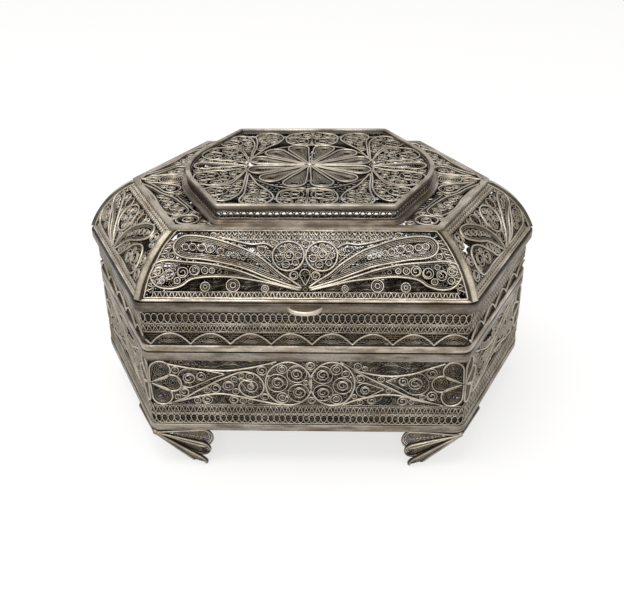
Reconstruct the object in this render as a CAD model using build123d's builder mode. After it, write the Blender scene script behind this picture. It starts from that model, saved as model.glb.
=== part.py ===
from build123d import *
from math import acos, atan2, cos, degrees, hypot, pi, radians, sin
import os

# Filigree jewellery box: six-sided walls of openwork wire, a domed lid hinged at the back, winged feet.
# The origin is the middle of the footprint, on the surface that the box stands on.
# X runs from the left point of the plan to the right point, and -Y faces the thumb tab.

# Plan, on the outer face of the eave strip
eave_half_front = 40.2
eave_half_depth = 45.3
eave_half_width = 62.4
front_corner_radius = 3.0
side_corner_radius = 5.0

# How far in from the eave each piece of the plan lies, and how thick it is
rim_inset = 1.0
strip_thickness = 1.3
eave_strip_thickness = 1.6
wire_row_setback = 0.2
wire_row_thickness = 1.0
wall_setback = 0.5
wall_thickness = 0.8
eave_wire_inset = 0.6
eave_wire_thickness = 1.0
strip_edge = 0.2

# Heights, each on its own piece, from the floor up
foot_height = 10.5
bottom_rim_height = 2.0
body_loop_row_height = 3.2
body_zigzag_row_height = 2.4
wall_height = 13.5
top_rim_height = 2.3
parting_gap = 0.3
lid_rim_height = 1.8
scallop_height = 3.6
lid_zigzag_row_height = 2.1
lid_loop_row_height = 4.1
eave_strip_height = 2.4
eave_wire_height = 0.7
dome_rise = 12.8
deck_thickness = 0.8
flange_step_height = 0.5
lattice_height = 2.1
crown_rim_height = 1.6

# Dome of the lid
dome_foot_inset = 1.0
dome_top_inset = 12.6
dome_bulge = 1.7
dome_sheet = 1.0
hip_rib_width = 1.9
hip_rib_proud = 0.4
deck_frame_overhang = 0.4
deck_frame_width = 1.6
deck_corner_radius = 1.2

# Raised crown in the middle of the lid, held clear of the deck frame
crown_front_margin = 1.0
crown_corner_margin = 9.7
crown_corner_radius = 1.5
crown_side_radius = 30.0
crown_rim_thickness = 1.2
crown_panel_drop = 0.8
crown_panel_thickness = 0.7
flange_overhang = 1.3
flange_landing = 1.1
lattice_setback = 0.25
lattice_thickness = 0.7
rosette_radius = 16.9
rosette_clearance = 0.15
petal_count = 12
petal_radius = 2.95
rosette_hub_radius = 3.0
rosette_bead_radius = 1.1
rosette_bead_height = 0.5
deck_disc_radius = 3.6
deck_disc_lap = 0.4

# Wirework
frame_wire = 0.9
scroll_wire = 0.8
dome_border = 1.8
scroll_hole = 1.1
loop_pitch = 3.0
loop_hole = 1.0
zigzag_hole = 0.55
lattice_pitch = 1.9
lattice_hole = 0.62
front_scallops = 8
side_scallops = 5

# Floor grille
floor_lift = 0.4
floor_thickness = 0.7
floor_border = 2.0
floor_ring_pitch = 11.5
floor_ring_radius = 6.1

# Feet: two fans of three petals that meet under each corner, from the upper petal down. The fan under
# the slanting side is tucked further in, so that it hardly shows beyond the rim.
foot_plate = 1.0
foot_root_drop = 0.9
foot_petal_reach = (12.3, 12.6, 13.8)
foot_petal_radius = (2.6, 2.4, 2.2)
foot_petal_fall = (8.0, 23.0, 38.0)
foot_petal_lean = (0.0, 18.0, 34.0)
foot_side_tuck = 42.0
foot_solder_radius = 1.0

# Hinge at the back, and the tab at the front
barrel_radius = 1.7
barrel_clearance = 0.3
barrel_length = 7.0
lid_barrel_length = 9.0
pin_radius = 0.5
pin_clearance = 0.05
pin_head_radius = 0.95
pin_head_height = 0.5
leaf_rise = 1.4
leaf_relief = 0.3
tab_half_width = 4.3
tab_reach = 2.7
tab_thickness = 0.9

# Levels, stacked from the heights above
bottom_rim_level = foot_height
body_loop_level = bottom_rim_level + bottom_rim_height
body_zigzag_level = body_loop_level + body_loop_row_height
wall_level = body_zigzag_level + body_zigzag_row_height
top_rim_level = wall_level + wall_height
body_top = top_rim_level + top_rim_height
lid_level = body_top + parting_gap
scallop_level = lid_level + lid_rim_height
lid_zigzag_level = scallop_level + scallop_height
lid_loop_level = lid_zigzag_level + lid_zigzag_row_height
eave_level = lid_loop_level + lid_loop_row_height
eave_wire_level = eave_level + eave_strip_height
dome_level = eave_wire_level + eave_wire_height
deck_level = dome_level + dome_rise
flange_level = deck_level + deck_thickness
lattice_level = flange_level + 2 * flange_step_height
crown_rim_level = lattice_level + lattice_height
crown_top = crown_rim_level + crown_rim_height

# Plan geometry that every ring and panel shares
slant = eave_half_width - eave_half_front
side_length = hypot(slant, eave_half_depth)
front_turn = atan2(eave_half_depth, slant)
side_turn = pi - 2 * front_turn
half_turns = [side_turn / 2 if corner in (2, 5) else front_turn / 2 for corner in range(6)]
side_names = ["front", "front_right", "back_right", "back", "back_left", "front_left"]
row_inset = rim_inset + wire_row_setback
wall_inset = rim_inset + wall_setback
deck_frame_inset = dome_top_inset - deck_frame_overhang
deck_inset = deck_frame_inset + deck_frame_width
deck_half_depth = eave_half_depth - deck_inset

# Plan of the crown: its straight front, and the swept point at the left and the right
crown_half_front = (
    eave_half_front - deck_inset * (side_length - slant) / eave_half_depth - crown_corner_margin
)
crown_half_depth = deck_half_depth - crown_front_margin
crown_point = crown_half_front + crown_half_depth * slant / eave_half_depth
crown_half_width = crown_point - crown_side_radius * (1 / cos(side_turn / 2) - 1)

# Arc of the dome, in the upright section across one side
chord_in = dome_top_inset - dome_foot_inset
chord_length = hypot(chord_in, dome_rise)
dome_radius = (chord_length**2 / 4 + dome_bulge**2) / (2 * dome_bulge)
dome_centre_inset = (
    dome_foot_inset + chord_in / 2 + (dome_radius - dome_bulge) * dome_rise / chord_length
)
dome_centre_level = dome_level + dome_rise / 2 - (dome_radius - dome_bulge) * chord_in / chord_length

# Hinge line
rim_face = eave_half_depth - rim_inset
hinge_y = rim_face + barrel_radius + barrel_clearance
hinge_z = body_top + parting_gap / 2
hinge_half_span = lid_barrel_length / 2 + barrel_clearance + barrel_length

os.makedirs("parts", exist_ok=True)


def save(piece, name):
    """Name a finished piece and write it to its own file."""
    piece.part.label = name
    export_step(piece.part, f"parts/{name}.step")


def plan_corners(inset):
    """Corners of the six-sided plan at an inset, from front left round to the left point."""
    front = eave_half_front - inset * (side_length - slant) / eave_half_depth
    depth = eave_half_depth - inset
    width = eave_half_width - inset * side_length / eave_half_depth
    return [(-front, -depth), (front, -depth), (width, 0), (front, depth), (-front, depth), (-width, 0)]


def side_frame(side, inset):
    """Middle, direction and outward normal of one side of the plan."""
    corners = plan_corners(inset)
    start = Vector(*corners[side])
    end = Vector(*corners[(side + 1) % 6])
    along = (end - start).normalized()
    return (start + end) * 0.5, along, along.cross(Vector(0, 0, 1)), (end - start).length


def side_plane(side, inset, level):
    """Upright plane on one side, seen from outside, with its origin at mid length."""
    middle, along, outward, _ = side_frame(side, inset)
    return Plane(origin=(middle.X, middle.Y, level), x_dir=along, z_dir=outward)


def hexagon(inset, front_radius, side_radius):
    """Six-sided face of the plan with rounded corners."""
    with BuildSketch() as plan:
        with BuildLine():
            Polyline(*plan_corners(inset), close=True)
        make_face()
        tips = plan.vertices().sort_by(Axis.X)
        fillet([tips[0], tips[-1]], side_radius)
        ends = plan.vertices().group_by(Axis.Y)
        fillet(ends[0] + ends[-1], front_radius)
    return plan.sketch


def ring_plan(inset, width, front_radius=front_corner_radius, side_radius=side_corner_radius):
    """Ring of even width that follows the plan."""
    with BuildSketch() as plan:
        add(hexagon(inset, front_radius, side_radius))
        offset(amount=-width, mode=Mode.SUBTRACT)
    return plan.sketch


def strip_ring(level, height, inset, width):
    """Flat strip bent round the plan, with its edges eased."""
    with BuildPart() as strip:
        with BuildSketch(Plane.XY.offset(level)):
            add(ring_plan(inset, width))
        extrude(amount=height)
        lower, upper = strip.faces().filter_by(Axis.Z).sort_by(Axis.Z)
        chamfer(lower.outer_wire().edges() + upper.outer_wire().edges(), strip_edge)
    return strip


def mitred_slab(side, inset, thickness):
    """Plan of one side wall, mitred at both corners."""
    outer = plan_corners(inset)
    inner = plan_corners(inset + thickness)
    following = (side + 1) % 6
    with BuildSketch() as plan:
        with BuildLine():
            Polyline(outer[side], outer[following], inner[following], inner[side], close=True)
        make_face()
    return plan.sketch


def pierced_side(side, inset, thickness, level, height, figure):
    """Upright side panel: a mitred slab cut down to its figure."""
    with BuildPart() as panel:
        with BuildSketch(Plane.XY.offset(level)):
            add(mitred_slab(side, inset, thickness))
        extrude(amount=height)
        with BuildSketch(side_plane(side, inset, level + height / 2)):
            add(figure)
        extrude(amount=2 * thickness, both=True, mode=Mode.INTERSECT)
    return panel


def drop(root, head, radius):
    """Drop-shaped cell: a round head and two straight sides that meet at the root."""
    reach = hypot(head[0] - root[0], head[1] - root[1])
    heading = atan2(head[1] - root[1], head[0] - root[0])
    spread = acos(radius / reach)

    def on_head(angle):
        return head[0] + radius * cos(angle), head[1] + radius * sin(angle)

    with BuildSketch() as cell:
        with BuildLine():
            Line(root, on_head(heading + pi + spread))
            ThreePointArc(on_head(heading + pi + spread), on_head(heading), on_head(heading + pi - spread))
            Line(on_head(heading + pi - spread), root)
        make_face()
    return cell.sketch


def wire_run(points, width=scroll_wire):
    """Flat wire that runs smoothly through a few points."""
    with BuildSketch() as run:
        with BuildLine():
            Spline(*points)
        trace(line_width=width)
    return run.sketch


def scroll_holes(centre, spread, radius, count, start):
    """Round eyes of the scrolls inside a cell."""
    with BuildSketch() as eyes:
        with Locations(centre):
            with PolarLocations(spread, count, start_angle=start):
                Circle(radius)
    return eyes.sketch


# Rings of the body, the lid and the eave

bottom_rim = strip_ring(bottom_rim_level, bottom_rim_height, rim_inset, strip_thickness)
save(bottom_rim, "bottom_rim")

body_top_rim = strip_ring(top_rim_level, top_rim_height, rim_inset, strip_thickness)
save(body_top_rim, "body_top_rim")

lid_bottom_rim = strip_ring(lid_level, lid_rim_height, rim_inset, strip_thickness)
save(lid_bottom_rim, "lid_bottom_rim")

eave_strip = strip_ring(eave_level, eave_strip_height, 0, eave_strip_thickness)
save(eave_strip, "eave_strip")

eave_wire = strip_ring(eave_wire_level, eave_wire_height, eave_wire_inset, eave_wire_thickness)
save(eave_wire, "eave_wire")


# Rows of coiled and zigzag wire that run round the box as open strips

def wire_row(level, height, hole):
    """Open strip of bent wire: a thin wall with a row of round eyes on every side."""
    with BuildPart() as row:
        with BuildSketch(Plane.XY.offset(level)):
            add(ring_plan(row_inset, wire_row_thickness))
        extrude(amount=height)
        for side in range(6):
            middle, along, outward, length = side_frame(side, row_inset)
            count = int((length - 2 * side_corner_radius) / loop_pitch)
            with BuildSketch(side_plane(side, row_inset, level + height / 2)):
                with GridLocations(loop_pitch, 1, count, 1):
                    Circle(hole)
            extrude(amount=2 * wire_row_thickness, both=True, mode=Mode.SUBTRACT)
    return row


body_loop_row = wire_row(body_loop_level, body_loop_row_height, loop_hole)
save(body_loop_row, "body_loop_row")

body_zigzag_row = wire_row(body_zigzag_level, body_zigzag_row_height, zigzag_hole)
save(body_zigzag_row, "body_zigzag_row")

lid_zigzag_row = wire_row(lid_zigzag_level, lid_zigzag_row_height, zigzag_hole)
save(lid_zigzag_row, "lid_zigzag_row")

lid_loop_row = wire_row(lid_loop_level, lid_loop_row_height, loop_hole)
save(lid_loop_row, "lid_loop_row")


# Walls of the body

def corner_flower(root, rise):
    """Half flower of three drops that grows from a corner at mid height."""
    x, y = root
    inward = -1 if x > 0 else 1
    petal = 0.37 * rise
    with BuildSketch() as flower:
        add(drop(root, (x + inward * 0.48 * rise, y + 0.60 * rise), petal))
        add(drop(root, (x + inward * 0.86 * rise, y), petal))
        add(drop(root, (x + inward * 0.48 * rise, y - 0.60 * rise), petal))
    return flower.sketch


def wall_frame(length):
    """Border wires of a wall."""
    with BuildSketch() as border:
        Rectangle(length, wall_height)
        Rectangle(length - 2 * frame_wire, wall_height - 2 * frame_wire, mode=Mode.SUBTRACT)
    return border.sketch


def long_wall_figure():
    """Front and back wall: corner flowers, two roundels, and two curling drops on each side."""
    _, _, _, length = side_frame(0, wall_inset)
    reach, rise = length / 2, wall_height / 2
    inner = rise - frame_wire / 2
    roundel_x = inner - scroll_wire / 2
    with BuildSketch() as figure:
        with Locations((roundel_x, 0)):
            Circle(inner)
        add(corner_flower((reach, 0), rise))
        add(drop((0.86 * reach, -0.88 * rise), (0.42 * reach, -0.24 * rise), 0.5 * rise))
        add(drop((0.34 * reach, 0.62 * rise), (0.70 * reach, -0.02 * rise), 0.48 * rise))
        add(wire_run([
            (0.22 * reach, 0.72 * rise),
            (0.42 * reach, 0.40 * rise),
            (0.62 * reach, 0.38 * rise),
            (0.88 * reach, 0.80 * rise),
            (0.95 * reach, inner),
        ]))
        add(wire_run([
            (0.22 * reach, 0.70 * rise),
            (0.46 * reach, 0.14 * rise),
            (0.70 * reach, -0.60 * rise),
            (0.90 * reach, -inner),
        ]))
        add(wire_run([
            (0.20 * reach, -inner),
            (0.40 * reach, -0.78 * rise),
            (0.58 * reach, -0.70 * rise),
            (0.90 * reach, -inner),
        ]))
        add(scroll_holes((roundel_x, 0), 0.55 * inner, scroll_hole, 4, 20), mode=Mode.SUBTRACT)
        add(scroll_holes((0.42 * reach, -0.24 * rise), 0.2 * rise, scroll_hole / 2, 3, 0), mode=Mode.SUBTRACT)
        mirror(about=Plane.YZ)
        add(wall_frame(length))
    return figure.sketch


def short_wall_figure(mirrored):
    """Slanting wall: a corner flower at each end and two curling drops between them."""
    _, _, _, length = side_frame(1, wall_inset)
    reach, rise = length / 2, wall_height / 2
    inner = rise - frame_wire / 2
    with BuildSketch() as figure:
        add(corner_flower((-reach, 0), rise))
        add(corner_flower((reach, 0), rise))
        add(drop((0.10 * reach, 0.50 * rise), (-0.45 * reach, -0.10 * rise), 0.5 * rise))
        add(drop((-0.40 * reach, -0.86 * rise), (0.24 * reach, -0.25 * rise), 0.48 * rise))
        add(wire_run([
            (-0.85 * reach, inner),
            (-0.62 * reach, 0.62 * rise),
            (-0.15 * reach, 0.25 * rise),
            (0.25 * reach, 0.45 * rise),
            (0.80 * reach, inner),
        ]))
        add(wire_run([
            (-0.80 * reach, -inner),
            (-0.10 * reach, -0.30 * rise),
            (0.30 * reach, 0.30 * rise),
            (0.80 * reach, inner),
        ]))
        add(wire_run([
            (-0.80 * reach, -inner),
            (-0.20 * reach, -0.72 * rise),
            (0.30 * reach, -0.70 * rise),
            (0.80 * reach, -inner),
        ]))
        if mirrored:
            mirror(about=Plane.YZ, mode=Mode.REPLACE)
        add(wall_frame(length))
    return figure.sketch


for side, name in enumerate(side_names):
    if name in ("front", "back"):
        wall_figure = long_wall_figure()
    else:
        wall_figure = short_wall_figure(name in ("front_left", "back_right"))
    wall = pierced_side(side, wall_inset, wall_thickness, wall_level, wall_height, wall_figure)
    save(wall, f"{name}_wall")


# Floor of the body: an open grille of rings inside the bottom rim

with BuildPart() as floor_grille:
    floor_edge = rim_inset + strip_thickness
    with BuildSketch(Plane.XY.offset(bottom_rim_level + floor_lift)):
        ring_rows = int(2 * eave_half_depth / floor_ring_pitch)
        ring_columns = int(2 * eave_half_width / floor_ring_pitch)
        with HexLocations(floor_ring_pitch / 2, ring_columns, ring_rows + 1):
            Circle(floor_ring_radius)
        with HexLocations(floor_ring_pitch / 2, ring_columns, ring_rows + 1):
            Circle(floor_ring_radius - scroll_wire, mode=Mode.SUBTRACT)
        add(ring_plan(floor_edge, floor_border))
        add(hexagon(floor_edge, front_corner_radius - strip_thickness, side_corner_radius - strip_thickness),
            mode=Mode.INTERSECT)
    extrude(amount=floor_thickness)
save(floor_grille, "floor_grille")


# Scallops that carry the upper part of the lid on its rim

def scallop_figure(length, count):
    """Row of arches, each holding a smaller filled arch, on a common foot wire."""
    pitch = length / count
    with BuildSketch() as figure:
        with BuildSketch(mode=Mode.PRIVATE) as arch:
            Ellipse(pitch / 2 + scroll_wire / 4, scallop_height)
            Ellipse(pitch / 2 - 0.75 * scroll_wire, scallop_height - scroll_wire, mode=Mode.SUBTRACT)
            Ellipse(pitch / 2 - 2 * scroll_wire, scallop_height - 2 * scroll_wire)
            with Locations((0, scallop_height / 2)):
                Rectangle(2 * pitch, scallop_height, mode=Mode.INTERSECT)
        with Locations((0, -scallop_height / 2)):
            with GridLocations(pitch, 1, count, 1):
                add(arch.sketch)
        with Locations((0, (scroll_wire - scallop_height) / 2)):
            Rectangle(length, scroll_wire)
    return figure.sketch


for side, name in enumerate(side_names):
    _, _, _, row_length = side_frame(side, wall_inset)
    arches = front_scallops if name in ("front", "back") else side_scallops
    scallops = pierced_side(side, wall_inset, wall_thickness, scallop_level, scallop_height,
                            scallop_figure(row_length, arches))
    save(scallops, f"{name}_scallops")


# Dome of the lid: six curved panels between six hip ribs

def dome_figure_plane(side):
    """Plane along the slope of one dome panel, with its origin on the eave at mid length."""
    middle, along, outward, _ = side_frame(side, dome_foot_inset)
    slope_normal = outward * dome_rise + Vector(0, 0, 1) * chord_in
    return Plane(origin=(middle.X, middle.Y, dome_level), x_dir=along, z_dir=slope_normal)


def dome_outline(side):
    """Outline of one dome panel on its slope, clear of the hip ribs."""
    lower = side_frame(side, dome_foot_inset)[3] / 2
    upper = side_frame(side, dome_top_inset)[3] / 2
    shift_start = hip_rib_width / 2 / cos(half_turns[side])
    shift_end = hip_rib_width / 2 / cos(half_turns[(side + 1) % 6])
    skew = dome_skew(side)
    return [
        (-lower + shift_start, 0),
        (lower - shift_end, 0),
        (upper + skew - shift_end, chord_length),
        (-upper + skew + shift_start, chord_length),
    ]


def dome_skew(side):
    """How far the middle of a panel's top edge lies to the right of the middle of its foot."""
    foot, along, _, _ = side_frame(side, dome_foot_inset)
    top = side_frame(side, dome_top_inset)[0]
    return (top - foot).dot(along)


def long_dome_figure(side):
    """Front and back dome panel: two long curling drops, two roundels and two low lobes."""
    outline = dome_outline(side)
    reach, rise = outline[1][0], chord_length
    eye = scroll_hole / 2
    with BuildSketch() as figure:
        add(drop((0.22 * reach, 0.36 * rise), (0.73 * reach, 0.74 * rise), 0.165 * rise))
        add(drop((0.42 * reach, 0.52 * rise), (0.72 * reach, 0.74 * rise), 0.05 * rise), mode=Mode.SUBTRACT)
        add(drop((0.16 * reach, 0.24 * rise), (0.82 * reach, 0.34 * rise), 0.22 * rise))
        with Locations((0.107 * reach, 0.60 * rise)):
            Circle(0.24 * rise)
        add(wire_run([
            (0, 0.16 * rise),
            (0.15 * reach, 0.36 * rise),
            (0.32 * reach, 0.60 * rise),
            (0.48 * reach, 0.78 * rise),
            (0.64 * reach, 0.88 * rise),
        ]))
        add(wire_run([
            (0, 0.14 * rise),
            (0.24 * reach, 0.32 * rise),
            (0.50 * reach, 0.52 * rise),
            (0.80 * reach, 0.58 * rise),
        ]))
        add(wire_run([
            (0.16 * reach, 0.82 * rise),
            (0.36 * reach, 0.80 * rise),
            (0.56 * reach, 0.92 * rise),
        ]))
        for place in (0.23, 0.38, 0.54):
            with Locations((place * reach, 0.15 * rise)):
                Circle(0.085 * rise)
        add(scroll_holes((0.107 * reach, 0.60 * rise), 0.13 * rise, eye, 4, 45), mode=Mode.SUBTRACT)
        add(scroll_holes((0.82 * reach, 0.34 * rise), 0.11 * rise, eye, 3, 60), mode=Mode.SUBTRACT)
        mirror(about=Plane.YZ)
        add(dome_border_figure(side))
    return figure.sketch


def short_dome_figure(side, mirrored):
    """Slanting dome panel: two long drops that rise from the foot, a roundel and two low lobes."""
    outline = dome_outline(side)
    reach, rise = (outline[1][0] - outline[0][0]) / 2, chord_length
    eye = scroll_hole / 2
    with BuildSketch() as figure:
        add(drop((0.06 * reach, 0.09 * rise), (-0.40 * reach, 0.73 * rise), 0.13 * rise))
        add(drop((0.10 * reach, 0.09 * rise), (0.66 * reach, 0.70 * rise), 0.125 * rise))
        add(drop((0.03 * reach, 0.09 * rise), (-0.57 * reach, 0.31 * rise), 0.24 * rise))
        add(drop((0.12 * reach, 0.09 * rise), (0.74 * reach, 0.29 * rise), 0.24 * rise))
        add(drop((0.08 * reach, 0.09 * rise), (0.13 * reach, 0.63 * rise), 0.245 * rise))
        with Locations((-0.15 * reach, 0.78 * rise), (0.40 * reach, 0.78 * rise)):
            Circle(0.14 * rise)
        add(wire_run([
            (0.07 * reach, 0.09 * rise),
            (0.02 * reach, 0.35 * rise),
            (-0.13 * reach, 0.65 * rise),
            (-0.36 * reach, 0.88 * rise),
        ]))
        add(scroll_holes((0.13 * reach, 0.63 * rise), 0.13 * rise, eye, 3, 90), mode=Mode.SUBTRACT)
        add(scroll_holes((-0.57 * reach, 0.31 * rise), 0.12 * rise, eye, 3, 0), mode=Mode.SUBTRACT)
        add(scroll_holes((0.74 * reach, 0.29 * rise), 0.12 * rise, eye, 3, 0), mode=Mode.SUBTRACT)
        if mirrored:
            mirror(about=Plane.YZ, mode=Mode.REPLACE)
        add(dome_border_figure(side))
    return figure.sketch


def dome_border_figure(side):
    """Broad border of zigzag wire inside the edge of a dome panel."""
    with BuildSketch() as border:
        with BuildLine():
            Polyline(*dome_outline(side), close=True)
        make_face()
        offset(amount=-dome_border, kind=Kind.INTERSECTION, mode=Mode.SUBTRACT)
    return border.sketch


def dome_wedge(side):
    """Plan of one dome panel between the hip ribs."""
    outer, inner = plan_corners(0), plan_corners(2 * dome_top_inset)
    _, along, _, _ = side_frame(side, 0)
    following = (side + 1) % 6
    start = along * (hip_rib_width / 2 / cos(half_turns[side]))
    end = along * (-hip_rib_width / 2 / cos(half_turns[following]))
    with BuildSketch() as plan:
        with BuildLine():
            Polyline(
                Vector(*outer[side]) + start,
                Vector(*outer[following]) + end,
                Vector(*inner[following]) + end,
                Vector(*inner[side]) + start,
                close=True,
            )
        make_face()
    return plan.sketch


def dome_panel(side, figure):
    """One curved dome panel, cut to its figure."""
    middle, along, outward, _ = side_frame(side, dome_centre_inset)
    centre = (middle.X, middle.Y, dome_centre_level)
    low, high = dome_level - dome_centre_level, deck_level - dome_centre_level
    with BuildPart() as panel:
        with BuildSketch(Plane(origin=centre, x_dir=outward, z_dir=along * -1)):
            Circle(dome_radius)
            Circle(dome_radius - dome_sheet, mode=Mode.SUBTRACT)
            with Locations((dome_radius, (low + high) / 2)):
                Rectangle(2 * dome_radius, high - low, mode=Mode.INTERSECT)
        extrude(amount=eave_half_width, both=True)
        with BuildSketch(Plane.XY.offset(dome_level)):
            add(dome_wedge(side))
        extrude(amount=dome_rise, mode=Mode.INTERSECT)
        with BuildSketch(dome_figure_plane(side)):
            add(figure)
        extrude(amount=dome_rise, both=True, mode=Mode.INTERSECT)
    return panel


for side, name in enumerate(side_names):
    if name in ("front", "back"):
        dome_figure = long_dome_figure(side)
    else:
        dome_figure = short_dome_figure(side, name in ("front_left", "back_right"))
    save(dome_panel(side, dome_figure), f"{name}_dome_panel")


def hip_rib(corner):
    """Polished rib along one hip, from the eave to the deck, standing a little proud."""
    stretch = 1 / cos(half_turns[corner])
    foot = Vector(*plan_corners(0)[corner])
    centre = Vector(*plan_corners(dome_centre_inset)[corner])
    outward = (foot - centre).normalized()
    low, high = dome_level - dome_centre_level, deck_level - dome_centre_level
    outer, inner = dome_radius + hip_rib_proud, dome_radius - dome_sheet
    with BuildPart() as rib:
        hip_plane = Plane(
            origin=(centre.X, centre.Y, dome_centre_level),
            x_dir=outward,
            z_dir=outward.cross(Vector(0, 0, 1)),
        )
        with BuildSketch(hip_plane):
            Ellipse(stretch * outer, outer)
            Ellipse(stretch * inner, inner, mode=Mode.SUBTRACT)
            with Locations((stretch * dome_radius, (low + high) / 2)):
                Rectangle(2 * stretch * dome_radius, high - low, mode=Mode.INTERSECT)
        extrude(amount=hip_rib_width / 2, both=True)
    return rib


corner_names = ["front_left", "front_right", "right", "back_right", "back_left", "left"]
for corner, name in enumerate(corner_names):
    save(hip_rib(corner), f"{name}_hip_rib")


# Flat deck on top of the dome

with BuildPart() as deck_frame:
    with BuildSketch(Plane.XY.offset(deck_level)):
        add(ring_plan(deck_frame_inset, deck_frame_width, deck_corner_radius, deck_corner_radius))
    extrude(amount=deck_thickness)
save(deck_frame, "deck_frame")


def crown_plan(outset):
    """Face of the crown: a six-sided plan whose left and right points are swept into long curves."""
    with BuildSketch() as plan:
        with BuildLine():
            Polyline(
                (-crown_half_front, -crown_half_depth),
                (crown_half_front, -crown_half_depth),
                (crown_point, 0),
                (crown_half_front, crown_half_depth),
                (-crown_half_front, crown_half_depth),
                (-crown_point, 0),
                close=True,
            )
        make_face()
        ends = plan.vertices().group_by(Axis.Y)
        fillet(ends[0] + ends[-1], crown_corner_radius)
        tips = plan.vertices().sort_by(Axis.X)
        fillet([tips[0], tips[-1]], crown_side_radius)
        if outset:
            offset(amount=outset, mode=Mode.REPLACE)
    return plan.sketch


def crown_ring(outset, width):
    """Ring that follows the crown."""
    with BuildSketch() as plan:
        add(crown_plan(outset))
        add(crown_plan(outset - width), mode=Mode.SUBTRACT)
    return plan.sketch


with BuildPart() as deck_panel:
    with BuildSketch(Plane.XY.offset(deck_level)):
        deck_tip = plan_corners(deck_inset)[2][0] - scroll_wire / 2
        disc_x = crown_half_width + flange_overhang + deck_disc_radius - deck_disc_lap
        disc_edge = disc_x + deck_disc_radius
        leaf_reach = deck_tip - disc_edge
        add(drop((deck_tip, 0), (disc_edge + leaf_reach / 6, 0), leaf_reach / 3))
        with Locations((disc_x, 0)):
            Circle(deck_disc_radius)
        for end in (-1, 1):
            add(drop((deck_tip - 1.0, 0.6 * end), (disc_x - 0.8, 0.235 * deck_half_depth * end), 2.9))
            add(drop((deck_tip - 2.5, 2.6 * end), (disc_x - 4.3, 0.622 * deck_half_depth * end), 4.2))
            with Locations((disc_x - 8.0, (deck_half_depth - 4.3) * end)):
                Circle(3.8)
        mirror(about=Plane.YZ)
        add(ring_plan(deck_inset, frame_wire, deck_corner_radius, deck_corner_radius))
        add(crown_ring(flange_overhang, flange_overhang + flange_landing))
        add(crown_plan(-flange_landing), mode=Mode.SUBTRACT)
        add(hexagon(deck_inset, deck_corner_radius, deck_corner_radius), mode=Mode.INTERSECT)
    extrude(amount=deck_thickness)
save(deck_panel, "deck_panel")


# Crown: stepped flange, open lattice, plain rim, and the filigree top inside it

with BuildPart() as crown_flange:
    with BuildSketch(Plane.XY.offset(flange_level)):
        add(crown_ring(flange_overhang, flange_overhang + flange_landing))
    extrude(amount=flange_step_height)
    with BuildSketch(Plane.XY.offset(flange_level + flange_step_height)):
        add(crown_ring(flange_overhang / 2, flange_overhang / 2 + flange_landing))
    extrude(amount=flange_step_height)
save(crown_flange, "crown_flange")

with BuildPart() as crown_lattice:
    with BuildSketch(Plane.XY.offset(lattice_level)):
        add(crown_ring(-lattice_setback, lattice_thickness))
    extrude(amount=lattice_height)
    lattice_mid = lattice_level + lattice_height / 2
    hole_count = int(2 * (crown_half_front - crown_corner_radius) / lattice_pitch)
    with BuildSketch(Plane.XZ.offset(-crown_half_depth - 1)):
        with Locations((0, lattice_mid)):
            with GridLocations(lattice_pitch, 1, hole_count, 1):
                RegularPolygon(lattice_hole, 4)
    extrude(amount=2 * crown_half_depth + 2, mode=Mode.SUBTRACT)
    sweep_centre = crown_half_width - crown_side_radius
    angle_step = degrees(lattice_pitch / crown_side_radius)
    arc_holes = int(degrees(side_turn) / angle_step)
    for sign in (-1, 1):
        for index in range(arc_holes):
            angle = (index - (arc_holes - 1) / 2) * angle_step
            outward = Vector(sign * cos(radians(angle)), sin(radians(angle)), 0)
            hole_centre = Vector(sign * sweep_centre, 0, lattice_mid) + outward * crown_side_radius
            with BuildSketch(Plane(origin=hole_centre, x_dir=outward.cross(Vector(0, 0, 1)), z_dir=outward)):
                RegularPolygon(lattice_hole, 4)
    extrude(amount=2, both=True, mode=Mode.SUBTRACT)
save(crown_lattice, "crown_lattice")

with BuildPart() as crown_rim:
    with BuildSketch(Plane.XY.offset(crown_rim_level)):
        add(crown_ring(0, crown_rim_thickness))
    extrude(amount=crown_rim_height)
    chamfer(crown_rim.faces().sort_by(Axis.Z)[-1].edges(), strip_edge)
save(crown_rim, "crown_rim")

crown_panel_level = crown_top - crown_panel_drop - crown_panel_thickness
fan_root = rosette_radius + rosette_clearance

with BuildPart() as crown_panel:
    with BuildSketch(Plane.XY.offset(crown_panel_level)):
        panel_side = crown_half_width - crown_rim_thickness
        panel_front = crown_half_depth - crown_rim_thickness
        middle_lobe = (panel_side - 6.0, 0.328 * panel_front)
        outer_lobe = (panel_side - 10.2, 0.669 * panel_front)
        front_lobe = (13.0, panel_front - 5.0)
        add(drop((fan_root, 0), (panel_side - 3.4, 0), 2.7))
        add(drop((fan_root, 1.0), middle_lobe, 4.6))
        add(drop((fan_root, 2.0), outer_lobe, 5.0))
        add(drop((fan_root - 0.8, 4.6), front_lobe, 5.0))
        with Locations((3.7, panel_front - 5.2)):
            Circle(5.0)
        mirror(about=Plane.XZ)
        for place in (middle_lobe, outer_lobe, front_lobe):
            add(scroll_holes(place, 2.3, scroll_hole, 3, 30), mode=Mode.SUBTRACT)
            add(scroll_holes((place[0], -place[1]), 2.3, scroll_hole, 3, 30), mode=Mode.SUBTRACT)
        mirror(about=Plane.YZ)
        add(crown_ring(-crown_rim_thickness, frame_wire))
        add(crown_plan(-crown_rim_thickness), mode=Mode.INTERSECT)
        Circle(rosette_radius + rosette_clearance, mode=Mode.SUBTRACT)
    extrude(amount=crown_panel_thickness)
save(crown_panel, "crown_panel")

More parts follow.
